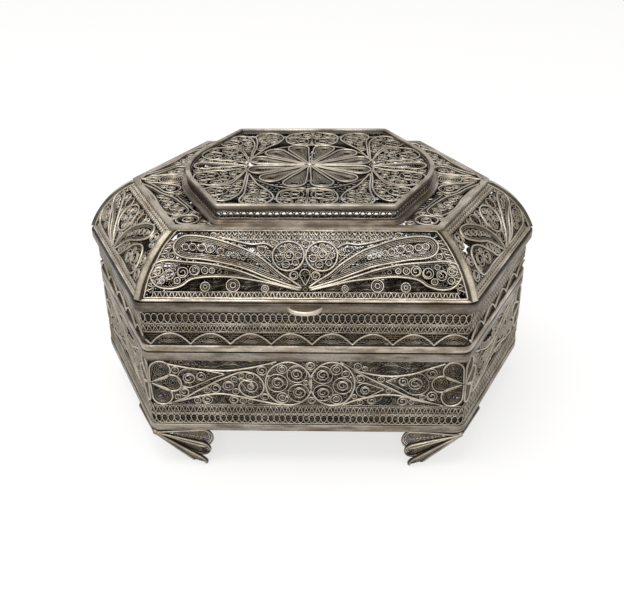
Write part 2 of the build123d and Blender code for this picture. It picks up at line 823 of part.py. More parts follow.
with BuildPart() as rosette:
    petal_head = rosette_radius - petal_radius
    with BuildSketch(Plane.XY.offset(crown_panel_level)):
        with PolarLocations(0, petal_count, start_angle=180 / petal_count):
            add(drop((0, 0), (petal_head, 0), petal_radius))
            add(drop((petal_head / 2, 0), (petal_head, 0), petal_radius / 5), mode=Mode.SUBTRACT)
        Circle(rosette_hub_radius)
    extrude(amount=crown_panel_thickness)
    with BuildSketch(Plane.XY.offset(crown_panel_level + crown_panel_thickness)):
        Circle(rosette_bead_radius)
    extrude(amount=rosette_bead_height)
save(rosette, "rosette")


# Feet: a folded pair of petal fans under each of the four straight corners

def foot_petal(root, along, outward, petal, tuck):
    """One drop-shaped plate that hangs from the corner and leans in under the box."""
    fall, lean, tuck = (radians(turn) for turn in (foot_petal_fall[petal], foot_petal_lean[petal], tuck))
    reach, radius = foot_petal_reach[petal], foot_petal_radius[petal]
    down = Vector(0, 0, -1) * cos(tuck) - outward * sin(tuck)
    fan_face = outward * cos(tuck) + Vector(0, 0, -1) * sin(tuck)
    heading = along * cos(fall) + down * sin(fall)
    below = heading.cross(fan_face)
    if below.dot(down) < 0:
        below = below * -1
    face = fan_face * cos(lean) + below * sin(lean)
    with BuildPart() as plate:
        with BuildSketch(Plane(origin=root, x_dir=heading, z_dir=face)):
            add(drop((0, 0), (reach, 0), radius))
            add(drop((0.5 * reach, 0), (reach, 0), radius / 3), mode=Mode.SUBTRACT)
        extrude(amount=foot_plate / 2, both=True)
    return plate.part


def foot(corner):
    """Both fans of one foot, cut level under the rim and worn flat where they stand."""
    root_inset = rim_inset + strip_thickness / 2
    x, y = plan_corners(root_inset)[corner]
    root = Vector(x, y, foot_height - foot_root_drop)
    with BuildPart() as fans:
        for side, sense in ((corner, 1), ((corner - 1) % 6, -1)):
            _, along, outward, _ = side_frame(side, root_inset)
            tuck = 0.0 if side in (0, 3) else foot_side_tuck
            for petal in range(3):
                add(foot_petal(root, along * sense, outward, petal, tuck))
        with BuildSketch(Plane.XY.offset(foot_height)):
            with Locations((x, y)):
                Circle(foot_solder_radius)
        extrude(amount=-2 * foot_root_drop)
        split(bisect_by=Plane.XY.offset(foot_height), keep=Keep.BOTTOM)
        split(bisect_by=Plane.XY, keep=Keep.TOP)
    return fans


for corner in (0, 1, 3, 4):
    save(foot(corner), f"{corner_names[corner]}_foot")


# Hinge: two barrels on the body, one on the lid, and the pin through them

def hinge_barrel(start, length, direction):
    """Hinge barrel with the leaf that is soldered to the rim above or below the parting."""
    leaf_near = hinge_z + direction * (parting_gap / 2 + leaf_relief)
    with BuildPart() as knuckle:
        with BuildSketch(Plane.YZ.offset(start)):
            with BuildLine():
                Polyline(
                    (rim_face, leaf_near),
                    (hinge_y, leaf_near),
                    (hinge_y, hinge_z + direction * barrel_radius),
                    (rim_face, leaf_near + direction * leaf_rise),
                    close=True,
                )
            make_face()
            with Locations((hinge_y, hinge_z)):
                Circle(barrel_radius)
                Circle(pin_radius + pin_clearance, mode=Mode.SUBTRACT)
        extrude(amount=length)
    return knuckle


save(hinge_barrel(-hinge_half_span, barrel_length, -1), "hinge_barrel_left")
save(hinge_barrel(hinge_half_span - barrel_length, barrel_length, -1), "hinge_barrel_right")
save(hinge_barrel(-lid_barrel_length / 2, lid_barrel_length, 1), "hinge_barrel_lid")

with BuildPart() as hinge_pin:
    with BuildSketch(Plane.YZ.offset(-hinge_half_span)):
        with Locations((hinge_y, hinge_z)):
            Circle(pin_radius)
    extrude(amount=2 * hinge_half_span)
    for end in (-hinge_half_span - pin_head_height, hinge_half_span):
        with BuildSketch(Plane.YZ.offset(end)):
            with Locations((hinge_y, hinge_z)):
                Circle(pin_head_radius)
    extrude(amount=pin_head_height)
save(hinge_pin, "hinge_pin")


# Half-moon tab under the thumb, soldered to the eave strip at the front

with BuildPart() as thumb_tab:
    with BuildSketch(Plane.XY.offset(eave_level + (eave_strip_height - tab_thickness) / 2)):
        with BuildLine():
            ThreePointArc(
                (-tab_half_width, -eave_half_depth),
                (0, -eave_half_depth - tab_reach),
                (tab_half_width, -eave_half_depth),
            )
            Line((tab_half_width, -eave_half_depth), (-tab_half_width, -eave_half_depth))
        make_face()
    extrude(amount=tab_thickness)
    chamfer(thumb_tab.faces().sort_by(Axis.Z)[-1].edges().filter_by(GeomType.CIRCLE), strip_edge)
save(thumb_tab, "thumb_tab")
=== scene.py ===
from math import asin, cos, hypot, inf, pi, radians, sin, tan

import bmesh
import bpy
import numpy as np
from mathutils import Matrix, Vector


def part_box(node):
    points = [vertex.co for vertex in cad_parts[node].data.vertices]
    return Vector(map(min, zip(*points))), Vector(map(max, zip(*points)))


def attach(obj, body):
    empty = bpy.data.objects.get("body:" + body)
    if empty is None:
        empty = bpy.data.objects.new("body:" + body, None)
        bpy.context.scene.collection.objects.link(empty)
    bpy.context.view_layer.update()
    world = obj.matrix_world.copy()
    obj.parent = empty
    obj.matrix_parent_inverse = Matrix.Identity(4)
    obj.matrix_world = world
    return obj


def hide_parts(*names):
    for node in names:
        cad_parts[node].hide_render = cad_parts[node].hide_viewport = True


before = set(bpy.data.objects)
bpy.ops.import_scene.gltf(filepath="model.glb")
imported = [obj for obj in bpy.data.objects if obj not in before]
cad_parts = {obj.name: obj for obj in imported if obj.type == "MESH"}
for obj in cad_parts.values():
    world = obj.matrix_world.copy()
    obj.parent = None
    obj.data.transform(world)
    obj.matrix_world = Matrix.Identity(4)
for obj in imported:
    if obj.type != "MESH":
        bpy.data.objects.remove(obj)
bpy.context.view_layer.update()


# The camera looks down on the front of the box from a little above the lid, as the photograph does.
# Its place was worked out from the corners of the eave, the rims, the deck and the crown.

mm = 0.001
photo_width = 624
focal_pixels = 859.6
film_width = 36.0
camera_place = Vector((7.67, -221.77, 144.99)) * mm
camera_yaw = radians(1.93)
camera_pitch = radians(28.07)
camera_roll = radians(-0.63)

lens = bpy.data.cameras.new("camera")
lens.sensor_width = film_width
lens.lens = focal_pixels / photo_width * film_width
camera = bpy.data.objects.new("camera", lens)
bpy.context.scene.collection.objects.link(camera)
camera.matrix_world = (
    Matrix.Translation(camera_place)
    @ Matrix.Rotation(camera_yaw, 4, "Z")
    @ Matrix.Rotation(pi / 2 - camera_pitch, 4, "X")
    @ Matrix.Rotation(camera_roll, 4, "Z")
)
bpy.context.scene.camera = camera


# The box stands on a plain white table top under soft light: a pale room all round, a broad lamp
# high on the left and a weaker one at the front right. Its shadow falls to the right.

table_reach = 4.0
table_white = (0.93, 0.93, 0.93, 1)
room_light = 0.62
shadow_fill = 0.68
room_white = (1.0, 0.995, 0.985, 1)
box_middle = Vector((0, 0, 0.03))


def join_node(node, links):
    """Link a shader node's inputs to what feeds them, or set them to a plain value."""
    for socket, source in links:
        if isinstance(source, bpy.types.NodeSocket):
            node.id_data.links.new(source, node.inputs[socket])
        else:
            node.inputs[socket].default_value = source


def add_node(tree, kind, links=(), **settings):
    """Place a shader node, choose what it does and join its inputs."""
    node = tree.nodes.new(kind)
    for key, value in settings.items():
        setattr(node, key, value)
    join_node(node, links)
    return node


def calculate(tree, operation, first, second=0.0):
    """Result of one sum on two values."""
    return add_node(tree, "ShaderNodeMath", [(0, first), (1, second)], operation=operation).outputs[0]


def fit(tree, value, low, high, foot=0.0, head=1.0, **settings):
    """A value carried over from the range low to high to the range foot to head, and held inside it."""
    return add_node(tree, "ShaderNodeMapRange", [
        ("Value", value), ("From Min", low), ("From Max", high), ("To Min", foot), ("To Max", head),
    ], **settings).outputs["Result"]


def seen_directly(tree):
    """One for a ray that comes from the eye, off bright metal or through glass, and nothing for others."""
    rays = add_node(tree, "ShaderNodeLightPath").outputs
    seen = calculate(tree, "MAXIMUM", rays["Is Camera Ray"], rays["Is Glossy Ray"])
    return calculate(tree, "MAXIMUM", seen, rays["Is Transmission Ray"])


table = bmesh.new()
bmesh.ops.create_grid(table, x_segments=1, y_segments=1, size=table_reach)
table_mesh = bpy.data.meshes.new("table_top")
table.to_mesh(table_mesh)
table.free()
table_top = bpy.data.objects.new("table_top", table_mesh)
bpy.context.scene.collection.objects.link(table_top)

table_paint = bpy.data.materials.new("table_white")
table_paint.use_nodes = True
table_tree = table_paint.node_tree
table_shader = table_tree.nodes["Principled BSDF"]
table_shader.inputs["Base Color"].default_value = table_white
table_shader.inputs["Roughness"].default_value = 0.9
table_shader.inputs["Specular IOR Level"].default_value = 0.1
table_glow = add_node(table_tree, "ShaderNodeEmission", [("Color", room_white)])
table_share = calculate(table_tree, "MULTIPLY", seen_directly(table_tree), shadow_fill)
table_blend = add_node(table_tree, "ShaderNodeMixShader", [
    (0, table_share), (1, table_shader.outputs[0]), (2, table_glow.outputs[0]),
])
table_tree.links.new(table_blend.outputs[0], table_tree.nodes["Material Output"].inputs[0])
table_mesh.materials.append(table_paint)

world = bpy.data.worlds.new("room")
bpy.context.scene.world = world
world.use_nodes = True
room = world.node_tree
backdrop = room.nodes["Background"]
backdrop.inputs["Color"].default_value = room_white
room_glow = fit(room, seen_directly(room), 0.0, 1.0, room_light)
room.links.new(room_glow, backdrop.inputs["Strength"])


def hang_lamp(name, place, size, watts):
    """A square soft lamp that points at the middle of the box."""
    lamp = bpy.data.lights.new(name, "AREA")
    lamp.size = size
    lamp.energy = watts
    holder = bpy.data.objects.new(name, lamp)
    bpy.context.scene.collection.objects.link(holder)
    holder.location = place
    holder.rotation_euler = (box_middle - Vector(place)).to_track_quat("-Z", "Y").to_euler()


hang_lamp("window_lamp", (-0.36, -0.2, 1.4), 1.0, 12)
hang_lamp("fill_lamp", (-0.1, -1.4, 0.7), 0.8, 11)

bpy.context.scene.view_settings.view_transform = "Standard"


# Flat silver strips: the two rims of the body, the lid's rim, the eave strip with its thin wire, the
# deck frame, the step and the rim of the crown. They are rolled strip, bent round and soldered.

aged_silver = np.array([0.46, 0.41, 0.345, 1])
dull_silver = np.array([0.17, 0.145, 0.11, 1])
# near black of the recesses: part tarnish, part painted shade
black_tarnish_and_shade = (0.014, 0.011, 0.008, 1)
brown_stain = (0.17, 0.12, 0.068, 1)
# for each strip: its tone, how light its foot and its head stay under painted shade, and how wide that shade
# is
strip_tone_and_shade = {
    "bottom_rim": (0.74, 0.5, 0.5, 0.35),
    "body_top_rim": (0.69, 0.5, 0.4, 0.4),
    "lid_bottom_rim": (1.2, 0.6, 0.6, 0.3),
    "eave_strip": (0.56, 1.0, 0.3, 1.2),
    "eave_wire": (1.5, 0.7, 1.0, 0.3),
    "deck_frame": (1.05, 0.4, 1.0, 0.4),
    "crown_flange": (0.8, 0.4, 0.9, 0.3),
    # the crown rim is painted dark from its foot up as shade, below a bright head that stands in for a
    # highlight
    "crown_rim": (1.08, 0.06, 1.0, 1.9),
}
blot_scale = 95.0
speck_scale = 2400.0
fine_dents = 0.12
dent_depth = 0.05 * mm


def blend(tree, share, first, second, **settings):
    """Mix of two colours."""
    return add_node(tree, "ShaderNodeMix", [
        ("Factor", share), ("A", first), ("B", second),
    ], data_type="RGBA", **settings).outputs["Result"]


def make_tarnish_and_shade():
    """Tarnish shared by every silver finish: dull patches, fine specks, and recess black that is part
    painted shade.
    """
    tree = bpy.data.node_groups.new("silver_tarnish_and_shade", "ShaderNodeTree")
    for side, kind, labels in (
        ("INPUT", "NodeSocketVector", ("Place", "Stretch")),
        ("INPUT", "NodeSocketFloat", ("Relief", "Patches", "Patch size", "Stains")),
        ("INPUT", "NodeSocketColor", ("Bright", "Dull", "Stain", "Black")),
        ("OUTPUT", "NodeSocketColor", ("Colour",)),
        ("OUTPUT", "NodeSocketFloat", ("Roughness", "Height")),
    ):
        for label in labels:
            tree.interface.new_socket(label, in_out=side, socket_type=kind)
    given = add_node(tree, "NodeGroupInput").outputs
    stretched = add_node(tree, "ShaderNodeVectorMath", [
        (0, given["Place"]), (1, given["Stretch"]),
    ], operation="MULTIPLY").outputs[0]
    cloud = add_node(tree, "ShaderNodeTexNoise", [
        ("Vector", stretched), ("Scale", given["Patch size"]), ("Detail", 5.0), ("Roughness", 0.62),
    ]).outputs["Fac"]
    blot = add_node(tree, "ShaderNodeTexNoise", [
        ("Vector", stretched), ("Scale", blot_scale), ("Detail", 3.0),
    ]).outputs["Fac"]
    speck = add_node(tree, "ShaderNodeTexNoise", [
        ("Vector", given["Place"]), ("Scale", speck_scale), ("Detail", 3.0),
    ]).outputs["Fac"]
    dulled = fit(tree, cloud, 0.36, 0.66, interpolation_type="SMOOTHSTEP")
    worn = blend(tree, calculate(tree, "MULTIPLY", dulled, given["Patches"]), given["Bright"], given["Dull"])
    blotted = fit(tree, blot, 0.5, 0.66, interpolation_type="SMOOTHSTEP")
    stained = blend(tree, calculate(tree, "MULTIPLY", blotted, given["Stains"]), worn, given["Stain"])
    grained = blend(tree, 1.0, stained, fit(tree, speck, 0.3, 0.7, 0.82, 1.12), blend_type="MULTIPLY")
    # the recesses are blended to black, part tarnish and part painted shade
    proud = fit(tree, given["Relief"], 0.0, 1.0, interpolation_type="SMOOTHSTEP")
    add_node(tree, "NodeGroupOutput", [
        ("Colour", blend(tree, proud, given["Black"], grained)),
        ("Roughness", fit(tree, cloud, 0.3, 0.7, 0.36, 0.54)),
        ("Height", speck),
    ])
    return tree


tarnish_and_shade = make_tarnish_and_shade()


def silver(name, bright, dull, relief, patches=0.6, patch_size=170.0, black=black_tarnish_and_shade,
           stains=0.35, stretch=(1, 1, 1)):
    """A silver finish; relief is a function that tells proud parts from recesses, which take the black of
    tarnish and painted shade.
    """
    paint = bpy.data.materials.new(name)
    paint.use_nodes = True
    tree = paint.node_tree
    place = add_node(tree, "ShaderNodeTexCoord").outputs["Object"]
    age = add_node(tree, "ShaderNodeGroup", node_tree=tarnish_and_shade)
    join_node(age, [
        ("Place", place), ("Relief", relief(tree, place)), ("Patches", patches), ("Patch size", patch_size),
        ("Stretch", stretch), ("Stains", stains), ("Stain", brown_stain), ("Bright", bright), ("Dull", dull),
        ("Black", black),
    ])
    bump = add_node(tree, "ShaderNodeBump", [
        ("Strength", fine_dents), ("Distance", dent_depth), ("Height", age.outputs["Height"]),
    ])
    join_node(tree.nodes["Principled BSDF"], [
        ("Metallic", 1.0), ("Base Color", age.outputs["Colour"]), ("Roughness", age.outputs["Roughness"]),
        ("Normal", bump.outputs["Normal"]),
    ])
    return paint


def shaded_at_edges(low, high, seam, foot, head):
    """Relief of a level strip: proud in the middle of its height, with painted shade along its foot and its
    head.
    """

    def relief(tree, place):
        level = add_node(tree, "ShaderNodeSeparateXYZ", [("Vector", place)]).outputs["Z"]
        above = fit(tree, level, low, low + seam, foot)
        below = fit(tree, level, high, high - seam, head)
        return calculate(tree, "MULTIPLY", above, below)

    return relief


def finish_node(name, paint):
    """Give a carried-over part its finish."""
    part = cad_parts[name]
    part.data.materials.clear()
    part.data.materials.append(paint)


for strip, (tone, foot, head, seam) in strip_tone_and_shade.items():
    low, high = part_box(strip)
    relief = shaded_at_edges(low.z, high.z, seam * mm, foot, head)
    finish_node(strip, silver(
        f"{strip}_silver", aged_silver * tone, dull_silver * tone, relief,
        patches=0.95, patch_size=110.0, stains=0.6, stretch=(1, 1, 5),
    ))


# Floor of the body: an open grille inside the bottom rim, of round wire coiled into discs that lie edge
# to edge, with small rings soldered into the gaps between them. It shows through the gaps of the walls
# and when the lid is open.

# wires are drawn flat, in millimetres; hand_slip is how far the slow waves of handwork push them aside
wire_step = 0.35
hand_slip = 0.08
# the wires' flanks are painted dark as shade, their fronts bright and their backs half bright as painted
# light
back_shine = 0.27
flank_relief = 0.47
crest_relief = 0.92
bright_wire = (0.51, 0.458, 0.38, 1)
dull_wire = (0.20, 0.172, 0.135, 1)
twist_bright = (0.38, 0.337, 0.272, 1)
twist_dull = (0.16, 0.135, 0.105, 1)
fill_bright = (0.24, 0.207, 0.16, 1)
fill_dull = (0.08, 0.066, 0.05, 1)
# very bright paint of the strip behind the crown's lattice, which stands in for light seen through it
light_backing_bright = (0.86, 0.84, 0.8, 1)
light_backing_dull = (0.3, 0.26, 0.2, 1)
# dark paint of wires that stand in for the shade behind the rows, the scallops and the lattice: painted
# shade
shade_bright = (0.1, 0.084, 0.062, 1)
shade_dull = (0.035, 0.03, 0.023, 1)

body_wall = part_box("front_wall")
side_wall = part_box("front_right_wall")
wall_front = body_wall[1].x / mm
wall_depth = -body_wall[0].y / mm
wall_width = side_wall[1].x / mm
slant = wall_width - wall_front
side_length = hypot(slant, wall_depth)


def plan_corner(corner, inset):
    """Corner of the six-sided plan, measured in from the outer face of the walls."""
    front = wall_front - inset * (side_length - slant) / wall_depth
    depth = wall_depth - inset
    width = wall_width - inset * side_length / wall_depth
    places = [(-front, -depth), (front, -depth), (width, 0), (front, depth), (-front, depth), (-width, 0)]
    return np.array(places[corner % 6])


def side_axes(side, inset):
    """Middle, direction, outward direction and length of one side of the plan."""
    start, end = plan_corner(side, inset), plan_corner(side + 1, inset)
    length = float(np.hypot(*(end - start)))
    along = (end - start) / length
    return (start + end) / 2, along, np.array([along[1], -along[0]]), length


def even(points, closed=False, step=wire_step):
    """The same line with evenly spaced points."""
    points = np.asarray(points, float)
    if closed:
        points = np.vstack([points, points[:1]])
    gaps = np.hypot(*np.diff(points, axis=0).T)
    reach = np.concatenate([[0], np.cumsum(gaps)])
    count = max(2, int(round(reach[-1] / step)))
    places = np.linspace(0, reach[-1], count + 1)
    if closed:
        places = np.linspace(0, reach[-1], count, endpoint=False)
    return np.column_stack([np.interp(places, reach, points[:, axis]) for axis in (0, 1)])


def ring(centre, radius, step=wire_step):
    """A wire ring."""
    count = max(7, int(round(2 * pi * radius / step)))
    turn = np.arange(count) * 2 * pi / count
    return np.column_stack([centre[0] + radius * np.cos(turn), centre[1] + radius * np.sin(turn)])


def rope(half_width, half_depth, sides, lift=0.0, bead=1.0, paint="frame"):
    """One sort of wire: half its width and its depth in the sheet, and how deep its beads are cut."""
    return {
        "half_width": half_width, "half_depth": half_depth, "sides": sides,
        "lift": lift, "bead": bead, "paint": paint,
    }


def sweep_wires(lines, wire):
    """Sweep one sort of wire along flat lines; each line is its points and whether it closes."""
    curve = bpy.data.curves.new("wires", "CURVE")
    curve.dimensions = "3D"
    curve.twist_mode = "Z_UP"
    curve.bevel_depth = wire["half_width"]
    curve.bevel_resolution = wire["sides"] // 2 - 2
    curve.use_fill_caps = True
    for points, closed in lines:
        spline = curve.splines.new("POLY")
        spline.points.add(len(points) - 1)
        laid = np.column_stack([points, np.zeros(len(points)), np.ones(len(points))])
        spline.points.foreach_set("co", laid.ravel())
        if wire["bead"] < 1:
            spline.points.foreach_set("radius", np.where(np.arange(len(points)) % 2, wire["bead"], 1.0))
        spline.use_cyclic_u = closed
    holder = bpy.data.objects.new("wires", curve)
    mesh = bpy.data.meshes.new_from_object(holder)
    bpy.data.objects.remove(holder)
    bpy.data.curves.remove(curve)
    return mesh


def wire_relief(tree, place):
    """Relief stored on the wires, which paints their light and shade: dark flanks, bright front, half bright
    back.
    """
    height = add_node(tree, "ShaderNodeAttribute", attribute_name="relief").outputs["Fac"]
    return fit(tree, height, flank_relief, crest_relief)


wire_paints = {
    "frame": silver("frame_wire_silver", bright_wire, dull_wire, wire_relief, patches=0.5),
    "twist": silver("twisted_wire_silver", twist_bright, twist_dull, wire_relief, patches=0.6),
    "fill": silver("fill_wire_silver", fill_bright, fill_dull, wire_relief, patches=0.7),
    # this very bright paint stands in for light seen through the crown's lattice
    "lining": silver("light_backing_silver", light_backing_bright, light_backing_dull, wire_relief, patches=0.5, patch_size=60.0),
    "shade": silver("shaded_wire_silver", shade_bright, shade_dull, wire_relief),
}


def hang(piece, body, nodes):
    """Hang a finished piece on its body, in place of the parts it stands for."""
    bpy.context.scene.collection.objects.link(piece)
    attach(piece, body)
    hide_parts(*nodes)


def solder_wires(name, body, layers, place, nodes):
    """Lay the wires of one piece flat, bend the sheet into its place and hang it on its body."""
    solder = bmesh.new()
    paints = sorted({wire["paint"] for wire, _ in layers})
    for wire, lines in layers:
        lines = [(points, closed) for points, closed in lines if len(points) > 1]
        if not lines:
            continue
        flat = sweep_wires(lines, wire)
        co = np.empty(len(flat.vertices) * 3, np.float32)
        flat.vertices.foreach_get("co", co)
        co = co.reshape(-1, 3).astype(float)
        height = co[:, 2] / wire["half_width"] * wire["half_depth"]
        co[:, 0] += hand_slip * np.sin(0.8 * co[:, 0] + 0.5 * co[:, 1])
        co[:, 1] += 0.5 * hand_slip * np.sin(0.5 * co[:, 0] - 0.6 * co[:, 1])
        # relief paints light and shade on each wire: shade on the flanks, light on the front, half light
        # behind
        relief = flat.attributes.new("relief", "FLOAT", "POINT")
        proud = np.clip(height / wire["half_depth"], -1, 1)
        share = 0.5 + np.where(proud > 0, 0.5, -back_shine) * proud
        relief.data.foreach_set("value", share.astype(np.float32))
        co[:, 2] = height + wire["lift"]
        flat.vertices.foreach_set("co", (place(co) * mm).astype(np.float32).ravel())
        count = len(flat.polygons)
        flat.polygons.foreach_set("material_index", np.full(count, paints.index(wire["paint"]), np.int32))
        flat.polygons.foreach_set("use_smooth", np.ones(count, bool))
        solder.from_mesh(flat)
        bpy.data.meshes.remove(flat)
    mesh = bpy.data.meshes.new(name)
    solder.to_mesh(mesh)
    solder.free()
    for paint in paints:
        mesh.materials.append(wire_paints[paint])
    piece = bpy.data.objects.new(name, mesh)
    if nodes:
        hang(piece, body, nodes)
    return piece


def on_level(level):
    """Lay a sheet flat at a height."""
    return lambda co: co + np.array([0, 0, level])


floor_low, floor_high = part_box("floor_grille")
floor_pitch = 11.5
floor_inset = 0.8
floor_reach = [plan_corner(corner, floor_inset) for corner in range(6)]
# the turns of a disc, those of brighter wire, and the rings in a gap, as shares of the pitch
disc_turns = (0.5, 0.43, 0.36, 0.29, 0.22, 0.15, 0.08)
bright_turns = (0.5, 0.22)
gap_rings = (0.065, 0.022)
floor_rim_wire = rope(0.42, 0.35, 6)
floor_coil_wire = rope(0.42, 0.3, 4, bead=0.88, paint="fill")


def inside(points, outline):
    """Which points lie inside a closed outline."""
    x, y = points[:, 0], points[:, 1]
    hits = np.zeros(len(points), bool)
    outline = np.asarray(outline)
    for (x0, y0), (x1, y1) in zip(outline, np.roll(outline, -1, axis=0)):
        if y0 != y1:
            hits ^= ((y0 > y) != (y1 > y)) & (x < (x1 - x0) * (y - y0) / (y1 - y0) + x0)
    return hits


def inside_runs(points, outline):
    """Stretches of a line that lie inside an outline."""
    held = inside(points, outline)
    edges = np.flatnonzero(np.diff(held.astype(int)))
    runs = zip(np.split(points, edges + 1), np.split(held, edges + 1))
    return [run for run, kept in runs if kept[0] and len(run) > 2]


floor_rings, floor_eyes = [], []
row_count = int(2 * wall_depth / floor_pitch) + 2
column_count = int(2 * wall_width / floor_pitch) + 1
for row in range(row_count):
    for column in range(column_count):
        centre = np.array([
            (column - (column_count - 1) / 2 + 0.5 * (row % 2)) * floor_pitch,
            (row - (row_count - 1) / 2) * floor_pitch * sin(pi / 3),
        ])
        circles = [
            (centre, share, floor_rings if share in bright_turns else floor_eyes)
            for share in disc_turns
        ]
        for sense in (-1, 1):
            gap = centre + np.array([0.5, sense * 0.5 / 3 ** 0.5]) * floor_pitch
            circles += [(gap, gap_rings[0], floor_rings), (gap, gap_rings[1], floor_eyes)]
        for middle, share, where in circles:
            circle = ring(middle, share * floor_pitch, 2 * wire_step)
            if inside(circle, floor_reach).all():
                where.append((circle, True))
            else:
                cut = inside_runs(np.vstack([circle, circle[:1]]), floor_reach)
                where.extend((run, False) for run in cut)
floor_edge = even(floor_reach, closed=True)
solder_wires(
    "floor_rings", "body",
    [(floor_rim_wire, floor_rings + [(floor_edge, True)]), (floor_coil_wire, floor_eyes)],
    on_level((floor_low.z + floor_high.z) / 2 / mm),
    ["floor_grille"],
)


# Coiled row and zigzag row round the foot of the walls. The coil is a spring pressed flat, the zigzag is
# two thin wires bent over pins. Both lie between twisted wires soldered to the rim, with dark wires
# behind them as painted shade.

loop_pitch = 1.5
loop_swell = 1.1
zigzag_pitch = 1.5
twist_step = 0.28
row_inset = 0.2
row_corner = 1.6
border_twist = rope(0.2, 0.4, 4, lift=0.1, bead=0.6, paint="twist")
loop_wire = rope(0.17, 0.2, 4, lift=0.2)
# the back strand of the zigzag takes the darker twisted-wire paint as painted shade
back_wire = rope(0.18, 0.18, 4, lift=-0.05, paint="twist")
# dark wires behind the rows and scallops, put there as painted shade
shade_wire = rope(0.28, 0.12, 4, lift=-0.3, paint="shade")
shade_wire_pitch = 0.62
border_height = 0.15
loop_room = 0.25
zigzag_room = 0.35


def swing(turn):
    """Matrix that turns a point about the origin."""
    return np.array([[cos(turn), -sin(turn)], [sin(turn), cos(turn)]])


def rounded(corners, radii, step=0.5):
    """Closed outline through the corners, with each corner turned to its radius."""
    corners = np.asarray(corners, float)
    befores, afters = np.roll(corners, 1, axis=0), np.roll(corners, -1, axis=0)
    points = []
    for before, corner, after, radius in zip(befores, corners, afters, radii):
        back = (before - corner) / np.hypot(*(before - corner))
        ahead = (after - corner) / np.hypot(*(after - corner))
        turn = pi - np.arccos(np.clip(back @ ahead, -1, 1))
        middle = (back + ahead) / np.hypot(*(back + ahead))
        centre = corner + middle * radius / cos(turn / 2)
        start = corner + back * radius * tan(turn / 2) - centre
        for share in np.linspace(0, 1, max(3, int(radius * turn / 0.4))):
            points.append(centre + swing(turn * share) @ start)
    return even(points, closed=True, step=step)


def around(outline, level):
    """Length of an outline and the way to wrap a sheet round it, seen from outside, seam at the back."""
    seam = int(np.argmin(np.abs(outline[:, 0]) - 1000 * (outline[:, 1] > outline[:, 1].max() - 0.01)))
    outline = np.roll(outline, -seam, axis=0)
    path = np.vstack([outline, outline[:1]])
    ahead = np.roll(outline, -1, axis=0) - np.roll(outline, 1, axis=0)
    ahead = np.vstack([ahead, ahead[:1]])
    ahead /= np.hypot(*ahead.T)[:, None]
    reach = np.concatenate([[0], np.cumsum(np.hypot(*np.diff(path, axis=0).T))])

    def place(co):
        x = np.interp(co[:, 0], reach, path[:, 0]) + co[:, 2] * np.interp(co[:, 0], reach, ahead[:, 1])
        y = np.interp(co[:, 0], reach, path[:, 1]) - co[:, 2] * np.interp(co[:, 0], reach, ahead[:, 0])
        return np.column_stack([x, y, level + co[:, 1]])

    return reach[-1], place


def plan_outline(inset):
    """Outline of the box at an inset from the walls' face."""
    return rounded([plan_corner(corner, inset) for corner in range(6)], [row_corner] * 6)


def spring(length, low, high):
    """Spring pressed flat: one wire that runs on in overlapping oval turns."""
    count = int(round(length / loop_pitch))
    turn = np.linspace(0, 2 * pi * count, 18 * count + 1)
    x = turn / (2 * pi) * length / count + loop_swell * np.sin(turn)
    y = (low + high) / 2 - (high - low) / 2 * np.cos(turn)
    return [(np.column_stack([x, y]), False)]


def zigzag(length, low, high):
    """Thin wire bent into rounded points between two levels."""
    count = int(round(length / zigzag_pitch))
    x = np.linspace(0, length, 8 * count + 1)
    share = 0.5 - 0.5 * np.cos(2 * pi * count * x / length)
    return [(np.column_stack([x, low + (high - low) * share]), False)]


def level_line(length, height, step=twist_step):
    """Straight wire along a row."""
    x = np.linspace(0, length, int(length / step))
    return (np.column_stack([x, np.full(len(x), height)]), False)


def coiled_row(name, body, node, coarse, covered=0.0):
    """One whole row wrapped round the box; covered is how much of its head a strip hides."""
    low, high = (corner.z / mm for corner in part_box(node))
    length, place = around(plan_outline(row_inset), low)
    rise = high - low
    borders = [level_line(length, border_height), level_line(length, rise - border_height)]
    # dark wires behind the row as painted shade
    lining = [level_line(length, height, 1.0) for height in np.arange(0.5, rise - 0.3, shade_wire_pitch)]
    if coarse:
        layers = [(loop_wire, spring(length, loop_room, rise - loop_room - covered))]
    else:
        layers = [
            (loop_wire, zigzag(length, zigzag_room, rise - zigzag_room)),
            (back_wire, zigzag(length, rise - zigzag_room, zigzag_room)),
        ]
    layers += [(shade_wire, lining), (border_twist, borders)]
    solder_wires(name, body, layers, place, [node])


coiled_row("body_coil", "body", "body_loop_row", True)
coiled_row("body_zigzag", "body", "body_zigzag_row", False)


# Walls: six panels of filigree, each between two twisted wires. Thick scroll wire is bent to the figures
# and soldered first, then every field is packed with coils of finer wire. Small silver grains fill the
# gaps of the back wall.

coil_pitch = 0.66
# from these radii on a coil has a rim, and a scroll or three small rings inside the rim
rimmed_from = 0.62
scroll_from = 0.95
three_rings_from = 1.7
grain_size = 0.12
wall_level = body_wall[0].z / mm
wall_rise = (body_wall[1].z - body_wall[0].z) / mm
wall_middle = 0.4
flower_level = 6.7
flower_reach = 5.4
# for each petal of a flower: how high its head lies, its half width, and its share of the reach
flower_petals = ((3.85, 2.6, 0.5), (0.0, 2.4, 1.0), (-3.85, 2.6, 0.5))
frame_rope = rope(0.28, 0.55, 6, lift=0.12)
figure_rope = rope(0.2, 0.45, 4, lift=0.05)
fill_rope = rope(0.19, 0.34, 4, lift=-0.06, bead=0.68, paint="fill")
twist_rope = rope(0.2, 0.38, 4, lift=0.04, bead=0.66, paint="twist")
sheet_ropes = (
    ("frame", frame_rope),
    ("figure", figure_rope),
    ("twist", twist_rope),
    ("fill", fill_rope),
)


